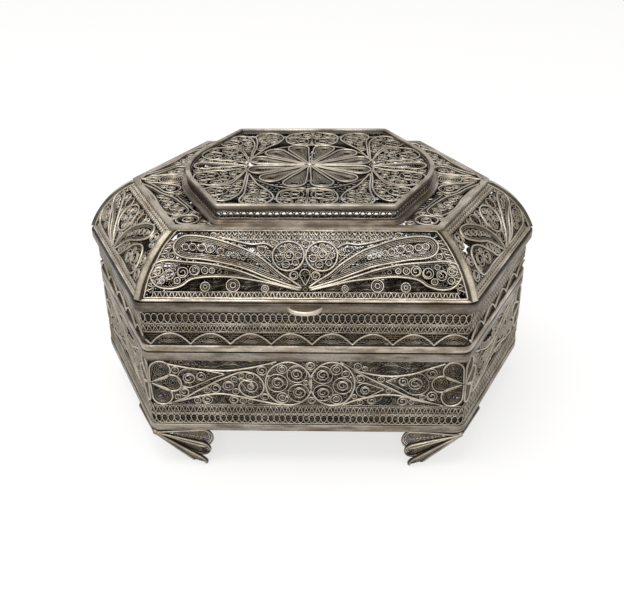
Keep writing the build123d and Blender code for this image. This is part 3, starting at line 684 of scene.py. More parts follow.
def through(points, closed=False, step=wire_step):
    """Smooth line through a few points."""
    points = np.asarray(points, float)
    if closed:
        knots = np.vstack([points[-1:], points, points[:2]])
    else:
        knots = np.vstack([2 * points[0] - points[1], points, 2 * points[-1] - points[-2]])
    share = np.linspace(0, 1, 12, endpoint=False)[:, None]
    parts = []
    for a, b, c, d in zip(knots, knots[1:], knots[2:], knots[3:]):
        bend = 2 * a - 5 * b + 4 * c - d + share * (3 * (b - c) + d - a)
        parts.append(b + 0.5 * share * (c - a + share * bend))
    if not closed:
        parts.append(points[-1:])
    return even(np.vstack(parts), closed=closed, step=step)


def drop(root, head, radius, bow=0.0):
    """Outline of a drop: two sides from its root, tangent to a round head; bow bends it to one side."""
    root, head = np.asarray(root, float), np.asarray(head, float)
    reach = np.hypot(*(head - root))
    half = asin(min(0.95, radius / reach))
    axis = (head - root) / reach
    turn = np.linspace(-pi / 2 - half, pi / 2 + half, 24)
    local = np.vstack([[0, 0], np.column_stack([reach + radius * np.cos(turn), radius * np.sin(turn)])])
    local = even(local, closed=True)
    local[:, 1] += bow * (1 - (2 * local[:, 0] / (reach + radius) - 1) ** 2)
    return root + local @ np.array([axis, [-axis[1], axis[0]]])


def nested(outline, gap):
    """Closed line a gap inside a closed outline, left out where the outline is too narrow."""
    ahead = np.roll(outline, -1, axis=0) - np.roll(outline, 1, axis=0)
    after = np.roll(outline, -1, axis=0)
    sense = np.sign(np.sum(outline[:, 0] * after[:, 1] - after[:, 0] * outline[:, 1]))
    length = np.maximum(np.hypot(*ahead.T), 1e-6)[:, None]
    normal = sense * np.column_stack([-ahead[:, 1], ahead[:, 0]]) / length
    moved = outline + normal * gap
    away = np.hypot(*(moved[:, None] - outline[None]).transpose(2, 0, 1)).min(axis=1)
    kept = moved[(away > 0.95 * gap) & inside(moved, outline)]
    return even(kept, closed=True) if len(kept) > 5 else kept[:0]


def coil(centre, radius, start=0.0, pitch=coil_pitch):
    """Wire coiled into a disc, from its rim to its eye."""
    loops = max(0.0, (radius - 0.3) / pitch)
    if loops < 0.8:
        return even(ring(centre, radius))
    turn = np.linspace(0, 2 * pi * loops, int(40 * loops) + 8)
    reach = radius - pitch * turn / (2 * pi)
    x = centre[0] + reach * np.cos(start + turn)
    y = centre[1] + reach * np.sin(start + turn)
    return even(np.column_stack([x, y]))


def packed(outline, fences, largest, smallest, gap=0.3, open_gaps=(), grid=0.25):
    """Centres and radii of discs that fill what the wires leave of an outline, the largest first."""
    low, high = outline.min(axis=0), outline.max(axis=0)
    x, y = np.meshgrid(np.arange(low[0], high[0], grid), np.arange(low[1], high[1], grid))
    spots = np.column_stack([x.ravel(), y.ravel()])
    spots = spots[inside(spots, outline)]
    for hole in open_gaps:
        spots = spots[~inside(spots, hole)]
    room = np.full(len(spots), inf)
    for fence in [outline, *fences, *open_gaps]:
        for start in range(0, len(fence), 200):
            away = np.hypot(*(spots[:, None] - fence[None, start:start + 200]).transpose(2, 0, 1))
            room = np.minimum(room, away.min(axis=1))
    discs = []
    while len(spots):
        best = int(np.argmax(room))
        radius = min(largest, room[best] - gap)
        if radius < smallest:
            break
        discs.append((spots[best], radius))
        room = np.minimum(room, np.hypot(*(spots - spots[best]).T) - radius)
    return discs


def new_sheet():
    """Flat drawing of one filigree panel: its lines, sorted by the wire they are bent from."""
    return {"frame": [], "figure": [], "twist": [], "fill": []}


def drawn(sheet):
    """Every line on a sheet so far."""
    return [line for lines in sheet.values() for line, _ in lines]


def put(sheet, sort, *lines, closed=False):
    """Add lines of one sort of wire to a sheet."""
    sheet[sort].extend((line, closed) for line in lines if len(line) > 2)


def bubble(sheet, centre, radius, start):
    """Ring of figure wire with smaller rings or one scroll inside it, and dark gaps between them."""
    put(sheet, "figure", ring(centre, radius), closed=True)
    if radius > three_rings_from:
        for turn in start + np.arange(3) * 2 * pi / 3:
            middle = np.asarray(centre) + 0.5 * radius * np.array([cos(turn), sin(turn)])
            put(sheet, "figure", ring(middle, 0.36 * radius), closed=True)
    elif radius > scroll_from:
        put(sheet, "figure", coil(centre, radius - 0.1, start, 0.6 * radius))
    else:
        put(sheet, "twist", ring(centre, 0.36 * radius), closed=True)


def fill_field(sheet, outline, largest, smallest=0.3, open_gaps=(), fences=None):
    """Pack a field of a sheet with coils; the larger ones are rimmed with figure wire."""
    if fences is None:
        fences = drawn(sheet)
    discs = packed(outline, fences, largest, smallest, open_gaps=open_gaps)
    for number, (centre, radius) in enumerate(discs):
        if radius > rimmed_from:
            bubble(sheet, centre, radius, 2.4 * number)
        else:
            put(sheet, "fill", ring(centre, radius), closed=True)


def flower(sheet, root, facing):
    """Three coil-filled drops that fan out from one point at the end of a panel."""
    for height, radius, share in flower_petals:
        head = (root[0] + facing * (flower_reach * share), root[1] + height)
        outline = drop(root, head, radius)
        put(sheet, "frame", outline, closed=True)
        put(sheet, "fill", coil(head, radius - 0.5, 0.8, 0.46))
        put(sheet, "fill", nested(outline, 0.5), closed=True)


def granules(sheet, outline):
    """Small silver grains in the gaps that the coils leave."""
    grain = grain_size * np.array([(1, 0), (0, 1), (-1, 0), (0, -1)])
    for centre, _ in packed(outline, drawn(sheet), 0.3, 0.14, gap=0.16, grid=0.2):
        put(sheet, "fill", centre + grain, closed=True)
    return sheet


def mirrored(sheet):
    """The same drawing seen from the other side."""
    flip = np.array([-1, 1])
    return {sort: [(line * flip, closed) for line, closed in lines] for sort, lines in sheet.items()}


def oval(centre, across, up, count):
    """Wire bent to an oval, from its half width and half height."""
    turn = np.linspace(0, 2 * pi, count, endpoint=False)
    x = centre[0] + across * np.cos(turn)
    y = centre[1] + up * np.sin(turn)
    return even(np.column_stack([x, y]), closed=True)


def straight(half, height):
    """Level line of a sheet, reaching as far to both sides."""
    x = np.arange(-half, half, twist_step)
    return np.column_stack([x, np.full(len(x), height)])


def wall_edge(half):
    """Outline of the field that the coils of a wall may fill."""
    side, head = half - 0.3, wall_rise - 0.2
    return rounded([(-side, 0.2), (side, 0.2), (side, head), (-side, head)], [0.3] * 4, wire_step)


def filled_drops(sheet, drops):
    """Drops of figure wire, each packed with scrolls."""
    for root, head, radius, bow in drops:
        outline = drop(root, head, radius, bow)
        put(sheet, "figure", outline, closed=True)
        inner = nested(outline, 0.3)
        fill_field(sheet, inner, largest=0.5 * radius, smallest=0.4, fences=[inner])


def finish_wall(sheet, half, *gaps):
    """Coils in what is left of a wall but its gaps, and the twisted wires along its foot and its head."""
    gaps = [through(gap, step=0.3) for gap in gaps]
    fill_field(sheet, wall_edge(half), largest=1.3, open_gaps=gaps)
    put(sheet, "twist", straight(half, border_height), straight(half, wall_rise - border_height))
    return sheet


def long_wall_sheet():
    """Front wall: flowers at the ends, two roundels in the middle, drops, and S scrolls between them."""
    sheet = new_sheet()
    half = wall_front
    flower(sheet, (-half + 0.3, flower_level), 1)
    flower(sheet, (half - 0.3, flower_level + 0.2), -1)
    for centre, across, circles in (
        ((-4.4, flower_level), 5.8, (
            ((-7.2, 6.8), 2.6), ((-2.3, 9.5), 2.5), ((-1.9, 3.9), 2.6), ((-6.0, 10.9), 1.2),
            ((-6.0, 2.4), 1.5),
        )),
        ((6.5, flower_level), 5.5, (
            ((4.1, 9.3), 2.5), ((9.0, 6.1), 2.4), ((4.2, 4.0), 2.4), ((7.4, 2.1), 1.4),
            ((7.5, 10.9), 1.4),
        )),
    ):
        put(sheet, "frame", oval(centre, across, 6.4, 60), closed=True)
        for place, radius in circles:
            put(sheet, "figure", ring(place, radius), closed=True)
            inner = ring(place, radius - 0.2)
            fill_field(sheet, inner, largest=0.55 * radius, smallest=0.45, fences=[inner])
    for bends in (
        [(-34, 0.6), (-30, 2.6), (-26.6, 4.8), (-21, 8), (-16, 10.1), (-12.6, 9.4), (-10.7, 6.6),
         (-11.2, 3.8), (-13.5, 2.6), (-16, 3.6), (-16.9, 5.8), (-15.6, 7.5), (-13.7, 7.2), (-13.3, 5.7)],
        [(-34.7, 0.4), (-28.5, 2.4), (-22.3, 3.6), (-16, 2.6), (-9.7, 1.0), (-6.5, 0.3)],
        [(-34.8, 12.4), (-28.5, 11.1), (-20.4, 10.4), (-14.8, 11.2), (-9.8, 12.4), (-7.3, 13.2)],
        [(8.4, 13.2), (12.8, 10.6), (19, 9.3), (25.3, 9.6), (30.9, 11.6), (34, 12.9)],
        [(9.2, 12.7), (13.4, 9.9), (19, 6.7), (24.6, 3.6), (30.9, 1.3), (34, 0.5)],
        [(9, 0.6), (13.4, 2.3), (19, 3.6), (24, 3.3), (27.8, 2), (33.4, 0.6)],
    ):
        put(sheet, "frame", through(bends))
    filled_drops(sheet, (
        ((-20.2, 9.3), (-29.2, 7.9), 2.8, -0.3), ((-16.9, 8.2), (-13.7, 5.7), 1.6, 0.0),
        ((19.6, 7.6), (27.2, 6.6), 3.2, 0.3), ((19.5, 5.2), (14.6, 4.9), 2.1, 0.0),
    ))
    return finish_wall(
        sheet, half,
        [(-24, 0.5), (-21.6, 2.6), (-19, 0.5)],
        [(17.2, 0.5), (20, 2.6), (23, 0.5)],
        [(-30, 12.8), (-24, 11.8), (-18, 11.7), (-12, 12.8), (-20, 13.2)],
        [(14, 12.6), (18, 10.6), (24, 10.6), (30, 12.8), (22, 13.2)],
    )


def short_wall_sheet():
    """Slanting wall: a flower at each end, S scrolls, and a large and a small drop between them."""
    sheet = new_sheet()
    half = side_axes(1, 0)[3] / 2
    flower(sheet, (-half + 0.3, flower_level), 1)
    flower(sheet, (half - 0.3, flower_level), -1)
    for bends in (
        [(-17.5, 12.6), (-13.5, 11), (-8, 8.6), (-2, 8.2), (5, 10.2), (12.5, 12.4), (17.5, 13)],
        [(-17.5, 0.5), (-11.5, 1.7), (-5.5, 3.9), (0, 6.4), (6, 8.4), (12.5, 10.8), (17, 11.6)],
        [(-16, 0.4), (-9, 0.9), (-2, 2.9), (5, 2.6), (12, 1.2), (17, 0.6)],
    ):
        put(sheet, "frame", through(bends))
    filled_drops(sheet, (
        ((-1.5, 7.0), (-11.4, 6.4), 3.3, 0.3), ((1.5, 4.8), (9.2, 5.2), 2.9, 0.0),
        ((9.0, 10.4), (0.5, 11.3), 1.5, 0.0),
    ))
    return finish_wall(
        sheet, half,
        [(-12, 12.8), (-8, 10.9), (-3, 10.4), (-4, 12.9)],
        [(-5, 0.6), (-1, 1.8), (4, 0.6)],
    )


def six_sides(front, slanting, back):
    """The drawings of the six sides in turn; the slanting one is drawn for the front right."""
    return [front, slanting, mirrored(slanting), back, slanting, mirrored(slanting)]


def on_wall(side, level):
    """Stand a sheet up in the plane of one wall."""
    middle, along, outward, _ = side_axes(side, 0)

    def place(co):
        plan = middle + co[:, :1] * along + (co[:, 2:] - wall_middle) * outward
        return np.column_stack([plan, level + co[:, 1]])

    return place


def solder_sheet(name, body, sheet, place, node, depth=1.0, width=1.0):
    """Make one filigree panel from its drawing; width thins the wires inside its frames."""
    layers = []
    for sort, wire in sheet_ropes:
        half_width = wire["half_width"] * (1.0 if sort == "frame" else width)
        half_depth = wire["half_depth"] * depth
        layers.append(({**wire, "half_width": half_width, "half_depth": half_depth}, sheet[sort]))
    return solder_wires(name, body, layers, place, [node])


side_names = ["front", "front_right", "back_right", "back", "back_left", "front_left"]
wall_front_sheet = long_wall_sheet()
wall_slant_sheet = short_wall_sheet()
wall_back_field = even([
    (-wall_front, 0.3), (wall_front, 0.3), (wall_front, wall_rise - 0.3), (-wall_front, wall_rise - 0.3),
], closed=True)
wall_back_sheet = granules(mirrored(wall_front_sheet), wall_back_field)
wall_sheets = six_sides(wall_front_sheet, wall_slant_sheet, wall_back_sheet)
for side, (name, sheet) in enumerate(zip(side_names, wall_sheets)):
    solder_sheet(f"{name}_wall_filigree", "body", sheet, on_wall(side, wall_level), f"{name}_wall")


# Feet: under each of the four straight corners two fans of three petals, bent down and in from one
# soldered point. A petal is a drop of thick wire round rows of serrated wire, with a line of small rings
# towards its tip.

foot_root_inset = 0.15
foot_root_drop = 0.9
foot_bead_radius = 0.75
foot_root_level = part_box("bottom_rim")[0].z / mm - foot_root_drop
# for each petal: its reach and half width, and how far it points down and leans in
petal_shapes = ((12.3, 2.6, 8.0, 0.0), (12.6, 2.4, 23.0, 18.0), (13.8, 2.2, 38.0, 34.0))
petal_row_pitch = 0.36
side_tuck = 42.0
# the feet's frame wires take the darker twisted-wire paint as painted shade, for feet that stand in shade
foot_ropes = (("frame", {**frame_rope, "paint": "twist"}), *sheet_ropes[1:])


def rungs(start, end, half_width, pitch=0.62):
    """Short wires across a narrow slit."""
    start, end = np.asarray(start, float), np.asarray(end, float)
    reach = np.hypot(*(end - start))
    along = (end - start) / reach
    across = np.array([-along[1], along[0]])
    lines = []
    for place in np.arange(pitch / 2, reach, pitch):
        middle = start + along * place
        width = half_width * (0.35 + 0.65 * place / reach)
        lines.append(np.array([middle - across * width, middle, middle + across * width]))
    return lines


def petal_sheet(reach, radius):
    """Drawing of one foot petal, from its root to its round tip."""
    sheet = new_sheet()
    outline = drop((0, 0), (reach, 0), radius)
    put(sheet, "frame", outline, closed=True)
    put(sheet, "fill", nested(outline, 0.55), closed=True)
    for gap in np.arange(0.95, radius - 0.2, petal_row_pitch):
        put(sheet, "fill", nested(outline, gap), closed=True)
    for place in np.arange(0.5 * reach, reach, 0.95):
        put(sheet, "twist", ring((place, 0), 0.34), closed=True)
    return sheet


def on_petal(root, heading, face):
    """Lay a sheet in the plane of one petal, worn flat where it meets the table."""
    across = np.cross(face, heading)

    def place(co):
        bent = root + co[:, :1] * heading + co[:, 1:2] * across + co[:, 2:] * face
        bent[:, 2] = np.maximum(bent[:, 2], 0.0)
        return bent

    return place


def join(name, parts, body, nodes):
    """Solder several pieces of one part together."""
    solder = bmesh.new()
    paints = []
    for part in parts:
        for paint in part.data.materials:
            if paint not in paints:
                paints.append(paint)
    for part in parts:
        mesh = part.data
        swap = np.array([paints.index(paint) for paint in mesh.materials], np.int32)
        marks = np.empty(len(mesh.polygons), np.int32)
        mesh.polygons.foreach_get("material_index", marks)
        mesh.polygons.foreach_set("material_index", swap[marks])
        solder.from_mesh(mesh)
        bpy.data.objects.remove(part)
        bpy.data.meshes.remove(mesh)
    joined = bpy.data.meshes.new(name)
    solder.to_mesh(joined)
    solder.free()
    for paint in paints:
        joined.materials.append(paint)
    hang(bpy.data.objects.new(name, joined), body, nodes)


def bead(place, radius, squash=1.0, paint="frame"):
    """Drop of solder or a polished ball."""
    ball = bmesh.new()
    bmesh.ops.create_uvsphere(ball, u_segments=16, v_segments=8, radius=radius * mm)
    proud = ball.verts.layers.float.new("relief")
    for vert in ball.verts:
        vert[proud] = 1.0
        vert.co.z *= squash
        vert.co += Vector(place) * mm
    for face in ball.faces:
        face.smooth = True
    mesh = bpy.data.meshes.new("bead")
    ball.to_mesh(mesh)
    ball.free()
    mesh.materials.append(wire_paints[paint])
    return bpy.data.objects.new("bead", mesh)


def loose_sheet(sheet, place, ropes):
    """Wires of one drawing as a piece still to be soldered to others."""
    return solder_wires("loose", None, [(wire, sheet[sort]) for sort, wire in ropes], place, ())


for corner, name in ((0, "front_left"), (1, "front_right"), (3, "back_right"), (4, "back_left")):
    root = np.append(plan_corner(corner, foot_root_inset), foot_root_level)
    # the bead at the root takes the darker twisted-wire paint too, as painted shade
    fans = [bead(root, foot_bead_radius, paint="twist")]
    for side, sense in ((corner, 1), ((corner - 1) % 6, -1)):
        _, along, outward, _ = side_axes(side, foot_root_inset)
        along, outward = np.append(along * sense, 0), np.append(outward, 0)
        tuck = 0.0 if side in (0, 3) else radians(side_tuck)
        down = np.array([0, 0, -cos(tuck)]) - outward * sin(tuck)
        fan_face = outward * cos(tuck) - np.array([0, 0, sin(tuck)])
        for reach, radius, fall, lean in petal_shapes:
            heading = along * cos(radians(fall)) + down * sin(radians(fall))
            below = np.cross(heading, fan_face)
            below *= np.sign(below @ down)
            face = fan_face * cos(radians(lean)) + below * sin(radians(lean))
            fans.append(loose_sheet(petal_sheet(reach, radius), on_petal(root, heading, face), foot_ropes))
    join(f"{name}_foot_fans", fans, "body", [f"{name}_foot"])


# Scallops of the lid: one thin deep ribbon waved along each side, standing on the lid's rim, with ovals
# of fine wire pressed into every arch and a small drop in the gap above every fold. Dark wires lie
# behind them as painted shade.

scallop_low, scallop_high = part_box("front_scallops")
scallop_level = scallop_low.z / mm
scallop_rise = (scallop_high.z - scallop_low.z) / mm
scallop_shift = 1.5
scallop_ends = 0.3
ribbon_rope = rope(0.26, 0.6, 6, lift=0.2)


def scallop_drawing(length, count):
    """Waved ribbon of one side with the filling of its arches."""
    sheet = new_sheet()
    pitch = length / count
    half = length / 2
    x = np.arange(-half + scallop_ends, half - scallop_ends, 0.3)
    wave = np.abs(np.sin(pi * (x + half - scallop_shift) / pitch)) ** 0.85
    put(sheet, "frame", np.column_stack([x, 0.25 + (scallop_rise - 0.5) * wave]))
    for index in range(-1, count + 1):
        middle = -half + scallop_shift + pitch * (index + 0.5)
        for share in (0.68, 0.52, 0.36, 0.2):
            turn = np.linspace(0, 2 * pi, 30, endpoint=False)
            arch = np.column_stack([
                middle + 0.46 * pitch * share * np.cos(turn),
                0.43 * scallop_rise + 0.46 * scallop_rise * share * np.sin(turn),
            ])
            arch = arch[np.abs(arch[:, 0]) < half - scallop_ends]
            if len(arch) > 6:
                put(sheet, "fill", even(arch, closed=True), closed=True)
        for corner in (-1, 1):
            wedge = middle + 0.42 * pitch * corner
            if abs(wedge) < half - 0.6:
                put(sheet, "fill", ring((wedge, 0.45), 0.25), closed=True)
        fold = middle - pitch / 2
        if abs(fold) < half - 1.5:
            put(sheet, "fill", even(drop((fold, 1.6), (fold, scallop_rise - 0.75), 0.55)), closed=True)
    put(sheet, "twist", straight(half, scallop_rise - 0.1))
    return sheet


for side, name in enumerate(side_names):
    length = side_axes(side, 0)[3]
    arches = scallop_drawing(length, 8 if side in (0, 3) else 5)
    half = length / 2 - scallop_ends
    # dark wires behind the scallops as painted shade
    lining = [
        (np.array([[-half, height], [half, height]]), False)
        for height in np.arange(0.5, scallop_rise - 0.3, shade_wire_pitch)
    ]
    layers = [
        (ribbon_rope, arches["frame"]),
        (twist_rope, arches["twist"]),
        (fill_rope, arches["fill"]),
        (shade_wire, lining),
    ]
    place = on_wall(side, scallop_level)
    solder_wires(f"{name}_scallop_filigree", "lid", layers, place, [f"{name}_scallops"])


# Zigzag row and coiled row of the lid, under the eave: the same wires as round the foot of the body,
# with a taller coil that ends below the edge of the eave strip.

eave_cover = 0.75
coiled_row("lid_zigzag", "lid", "lid_zigzag_row", False)
coiled_row("lid_coil", "lid", "lid_loop_row", True, eave_cover)


# Dome: six panels of filigree bent to the curve of the lid. Each is framed by thick wire, carries bands
# of zigzag along its edges, and is built of long drops, roundels and scrolls packed with coils.

dome_low, dome_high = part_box("front_dome_panel")
dome_level = dome_low.z / mm
dome_rise = (dome_high.z - dome_low.z) / mm
dome_foot = -0.5
dome_run = 11.6
dome_bulge = 1.7
dome_chord = hypot(dome_run, dome_rise)
dome_radius = dome_chord ** 2 / (8 * dome_bulge) + dome_bulge / 2
dome_half_turn = asin(dome_chord / 2 / dome_radius)
dome_length = 2 * dome_radius * dome_half_turn
dome_middle = 0.5
hip_margin = 1.3
band_width = 1.9
band_start = 1.9
paisley_rim = 0.52
paisley_pitch = 0.42


def dome_section(t):
    """How far in and up a point of the dome's curve lies, and which way it faces."""
    turn = np.asarray(t, float) / dome_radius - dome_half_turn
    run, rise = dome_run / dome_chord, dome_rise / dome_chord
    ahead, out = dome_radius * np.sin(turn), dome_radius * np.cos(turn) - (dome_radius - dome_bulge)
    inward = dome_run / 2 + run * ahead - rise * out
    up = dome_rise / 2 + rise * ahead + run * out
    return inward, up, -rise * np.cos(turn) + run * np.sin(turn), run * np.cos(turn) + rise * np.sin(turn)


def on_dome(side):
    """Bend a sheet over one side of the dome."""
    middle, along, outward, _ = side_axes(side, dome_foot)

    def place(co):
        inward, up, face_in, face_up = dome_section(co[:, 1])
        height = co[:, 2] - dome_middle
        plan = middle + co[:, :1] * along - (inward + height * face_in)[:, None] * outward
        return np.column_stack([plan, dome_level + up + height * face_up])

    return place


def hip_line(side, end, margin, low, high):
    """Line beside the left (0) or right (1) hip of a dome panel, between two heights along its curve."""
    middle, along, _, _ = side_axes(side, dome_foot)
    points = []
    for t in np.linspace(low, high, 8):
        inward = float(dome_section(t)[0])
        corner = plan_corner(side + end, dome_foot + inward)
        points.append(((corner - middle) @ along + margin * (1, -1)[end], t))
    return np.array(points)


def band(first, second, pitch, sort, sheet, rows=1):
    """Zigzag wire between two lines."""
    first, second = even(first, step=0.2), even(second, step=0.2)
    count = max(2, int(round(np.hypot(*np.diff(first, axis=0).T).sum() / pitch)))
    share = np.linspace(0, 1, 6 * count + 1)
    near, far = (
        np.column_stack([np.interp(share, np.linspace(0, 1, len(line)), line[:, axis]) for axis in (0, 1)])
        for line in (first, second)
    )
    for row in range(rows):
        wave = (row + 0.5 - 0.5 * np.cos(2 * pi * count * share)) / rows
        put(sheet, sort, near + (far - near) * wave[:, None])
        put(sheet, "fill", near + (far - near) * ((2 * row + 1) / rows - wave)[:, None])


def twist_along(sheet, line, closed=False):
    """Twisted wire along a line."""
    put(sheet, "twist", even(line, closed=closed, step=twist_step), closed=closed)


def facet_outline(side, margin, low, high):
    """Outline of a dome panel inside its hips."""
    left = hip_line(side, 0, margin, low, high)
    right = hip_line(side, 1, margin, low, high)
    return even(np.vstack([left[::-1], right]), closed=True)


def paisley(sheet, outline, rows):
    """Drop with a frame wire, rows of serrated wire, and a dark slot that holds small rings."""
    put(sheet, "frame", outline, closed=True)
    gap = paisley_rim
    for _ in range(rows):
        twist_along(sheet, nested(outline, gap), closed=True)
        gap += paisley_pitch
    slot = nested(outline, gap)
    if len(slot) > 8:
        for centre, radius in packed(slot, [slot], 0.9, 0.34, gap=0.1, grid=0.2)[:9]:
            put(sheet, "figure", ring(centre, radius), closed=True)


def scroll_drop(sheet, outline, largest):
    """Drop with a frame wire, one serrated wire and a packing of scrolls."""
    put(sheet, "frame", outline, closed=True)
    line = nested(outline, 0.45)
    put(sheet, "fill", line, closed=True)
    if len(line) > 8:
        fill_field(sheet, line, largest=largest, smallest=0.36, fences=[line])


def scroll_roundel(sheet, centre, radius, field_radius, largest, smallest):
    """Ring of frame wire packed with scrolls."""
    put(sheet, "frame", ring(centre, radius), closed=True)
    field = ring(centre, field_radius)
    fill_field(sheet, field, largest=largest, smallest=smallest, fences=[field])


def facet_bands(sheet, side, top_low, top_reach=inf):
    """Frame and zigzag bands along the four edges of a dome panel; the top one may stop short."""
    put(sheet, "frame", facet_outline(side, hip_margin, 0.25, dome_length - 0.15), closed=True)
    for end in (0, 1):
        outer = hip_line(side, end, hip_margin + 0.2, band_start, top_low)
        inner = hip_line(side, end, hip_margin + band_width, band_start, top_low)
        twist_along(sheet, inner)
        band(outer, inner, 1.5, "figure", sheet)
    left, right = (hip_line(side, end, hip_margin + band_width, 0, 0)[0][0] for end in (0, 1))
    foot_band = [np.array([(left, t), (right, t)]) for t in (0.4, 1.7)]
    twist_along(sheet, foot_band[1])
    band(*foot_band, 1.4, "figure", sheet)
    left, right = (hip_line(side, end, hip_margin, top_low, top_low)[0][0] for end in (0, 1))
    left, right = max(left, -top_reach), min(right, top_reach)
    head_band = [np.array([(left, t), (right, t)]) for t in (top_low, dome_length - 0.3)]
    twist_along(sheet, head_band[0])
    band(*head_band, 1.3, "figure", sheet, rows=2 if dome_length - top_low > 2.4 else 1)
    return facet_outline(side, hip_margin + band_width, 1.7, top_low + (0 if top_reach == inf else 2.4))


def long_dome_sheet():
    """Front of the dome: two long paisleys that rise in a V, two roundels, and low lobes over open rings."""
    sheet = new_sheet()
    field = facet_bands(sheet, 0, 14.9, 21.0)
    gaps = []
    for facing in (-1, 1):
        turned = np.array([facing, 1])
        paisley(sheet, turned * through([
            (0.9, 2.8), (5.6, 6.1), (10, 9.6), (13.7, 11.9), (17.5, 13.5), (22, 15.1), (26.5, 15.9),
            (29.8, 15.5), (31.4, 13.2), (30.6, 10.9), (28, 9.9), (24, 9.5), (16, 7.9), (8, 4.9),
        ], closed=True), 3)
        scroll_drop(sheet, turned * through([
            (1.2, 2.3), (8.1, 4.2), (16, 6.9), (22, 8.3), (28, 8.9), (33, 9.3), (35.9, 8.2), (36.6, 5.6),
            (35, 3.1), (32, 2.4), (29, 3.2), (26.2, 4.9), (20, 5.4), (12, 4.6), (6, 3.3),
        ], closed=True), 1.25)
        scroll_roundel(sheet, (3.95 * facing, 10.6), 3.75, 3.4, 1.2, 0.36)
        put(sheet, "frame", turned * through([
            (7.6, 12.6), (9.6, 13.8), (13, 13.6), (17, 14.5), (20.6, 15.6),
        ]))
        put(sheet, "figure", turned * through([
            (8.0, 9.0), (9.8, 10.6), (11.4, 12.2), (10.8, 13.0), (9.4, 12.6), (9.6, 11.6),
        ]))
        for place, radius in (((17.0, 3.3), 1.5), ((9.4, 2.6), 0.8), ((23.6, 3.0), 1.1)):
            centre = (place[0] * facing, place[1])
            put(sheet, "figure", ring(centre, radius), ring(centre, 0.42 * radius), closed=True)
            put(sheet, "fill", ring(centre, 0.72 * radius), closed=True)
        low_gap = [(1.5, 1.6), (6, 3.3), (12, 4.6), (20, 5.4), (26.2, 4.9), (29, 3.2), (31.6, 1.6)]
        gaps.append(even(np.array(low_gap) * turned, closed=True))
        for gap in (
            [(11.8, 12.6), (14.2, 12.9), (17.4, 14.2), (14.6, 13.9)],
            [(33.0, 10.4), (35.4, 9.9), (34.2, 12.4), (32.6, 13.6)],
        ):
            gaps.append(through(np.array(gap) * turned, closed=True))
    leaf = drop((0, 3.4), (0, 5.9), 1.3)
    put(sheet, "figure", leaf, closed=True)
    put(sheet, "fill", coil((0, 5.9), 0.9))
    fill_field(sheet, field, largest=1.2, open_gaps=gaps)
    return sheet


def short_dome_sheet():
    """Slanting side of the dome, left end at the front: two drops that rise apart, a roundel, low lobes."""
    sheet = new_sheet()
    field = facet_bands(sheet, 1, 15.3)
    for outline in (
        [(2.3, 1.9), (1.3, 5.7), (-1.7, 10.2), (-4.7, 12.7), (-8.4, 14.5), (-11.2, 14.6), (-12.7, 13.2),
         (-12, 11.4), (-8.7, 9.2), (-4.7, 7.4), (-1.2, 4.4)],
        [(3.8, 1.9), (6.8, 4.9), (10.3, 8.9), (14.3, 12.4), (17.2, 13.8), (19.4, 13.4), (20.0, 11.6),
         (18.6, 9.6), (13.3, 7.3), (9.3, 3.9)],
    ):
        paisley(sheet, through(outline, closed=True), 2)
    scroll_roundel(sheet, (4.7, 10.6), 4.0, 3.6, 1.3, 0.4)
    for centre, radius in (((-2.2, 13.3), 1.7), ((10.4, 13.3), 1.6), ((4.3, 4.9), 1.4)):
        put(sheet, "figure", ring(centre, radius), closed=True)
        put(sheet, "fill", coil(centre, radius - 0.36))
    for lobe, largest in (
        ([(2.0, 2.0), (-2.7, 2.4), (-5.7, 4.9), (-8.6, 7.7), (-12.4, 9.4), (-15.4, 8.2), (-16.6, 4.8),
          (-15, 2.4), (-11.7, 2.0), (-7, 2.2)], 1.7),
        ([(5.6, 2.0), (10.3, 3.3), (14.3, 6.2), (17.4, 8.6), (20.6, 8.4), (21.9, 5.6), (20.4, 2.8),
          (16.8, 2.1)], 2.0),
    ):
        scroll_drop(sheet, through(lobe, closed=True), largest)
    gaps = [through([(-8.6, 8.4), (-12.4, 10.2), (-16.2, 9.6), (-14.6, 11.2), (-11.4, 10.6)], closed=True)]
    fill_field(sheet, field, largest=1.4, open_gaps=gaps)
    return sheet


dome_front_sheet = long_dome_sheet()
dome_sheets = six_sides(dome_front_sheet, short_dome_sheet(), mirrored(dome_front_sheet))
for side, (name, sheet) in enumerate(zip(side_names, dome_sheets)):
    solder_sheet(f"{name}_dome_filigree", "lid", sheet, on_dome(side), f"{name}_dome_panel")


# Hip ribs: half-round silver strips soldered over the joints of the dome panels, from the eave up to
# the deck, painted bright along the crest as a highlight.

# bright tone of the ribs, set to match the highlight along them: a painted highlight
hip_silver = (0.62, 0.55, 0.44, 1)
hip_shade = (0.17, 0.14, 0.1, 1)
hip_half = 0.95 * mm
hip_names = ("front_left", "front_right", "right", "back_right", "back_left", "left")


def along_hip(corner):
    """Relief of one rib: proud along its crest, which keeps the painted highlight, and painted dark as shade
    along both seams.
    """
    foot, head = (plan_corner(corner, inset) * mm for inset in (dome_foot, dome_foot + dome_run))
    run = (head - foot) / np.hypot(*(head - foot))
    across = (-run[1], run[0], 0.0)
    crest = float(run[0] * foot[1] - run[1] * foot[0])

    def relief(tree, place):
        aside = add_node(tree, "ShaderNodeVectorMath", [(0, place), (1, across)], operation="DOT_PRODUCT")
        away = calculate(tree, "SUBTRACT", aside.outputs["Value"], crest)
        return fit(tree, calculate(tree, "ABSOLUTE", away), hip_half, 0.45 * hip_half, 0.3)

    return relief


for corner, name in enumerate(hip_names):
    finish_node(f"{name}_hip_rib", silver(
        f"{name}_hip_silver", hip_silver, hip_shade, along_hip(corner), patches=0.8, patch_size=140.0,
    ))


# Deck: the flat shoulder between the dome and the crown. Left and right of the crown it holds a coiled
# disc with a leaf behind it, and long S wires that end in drops, with open crescents along the frame.

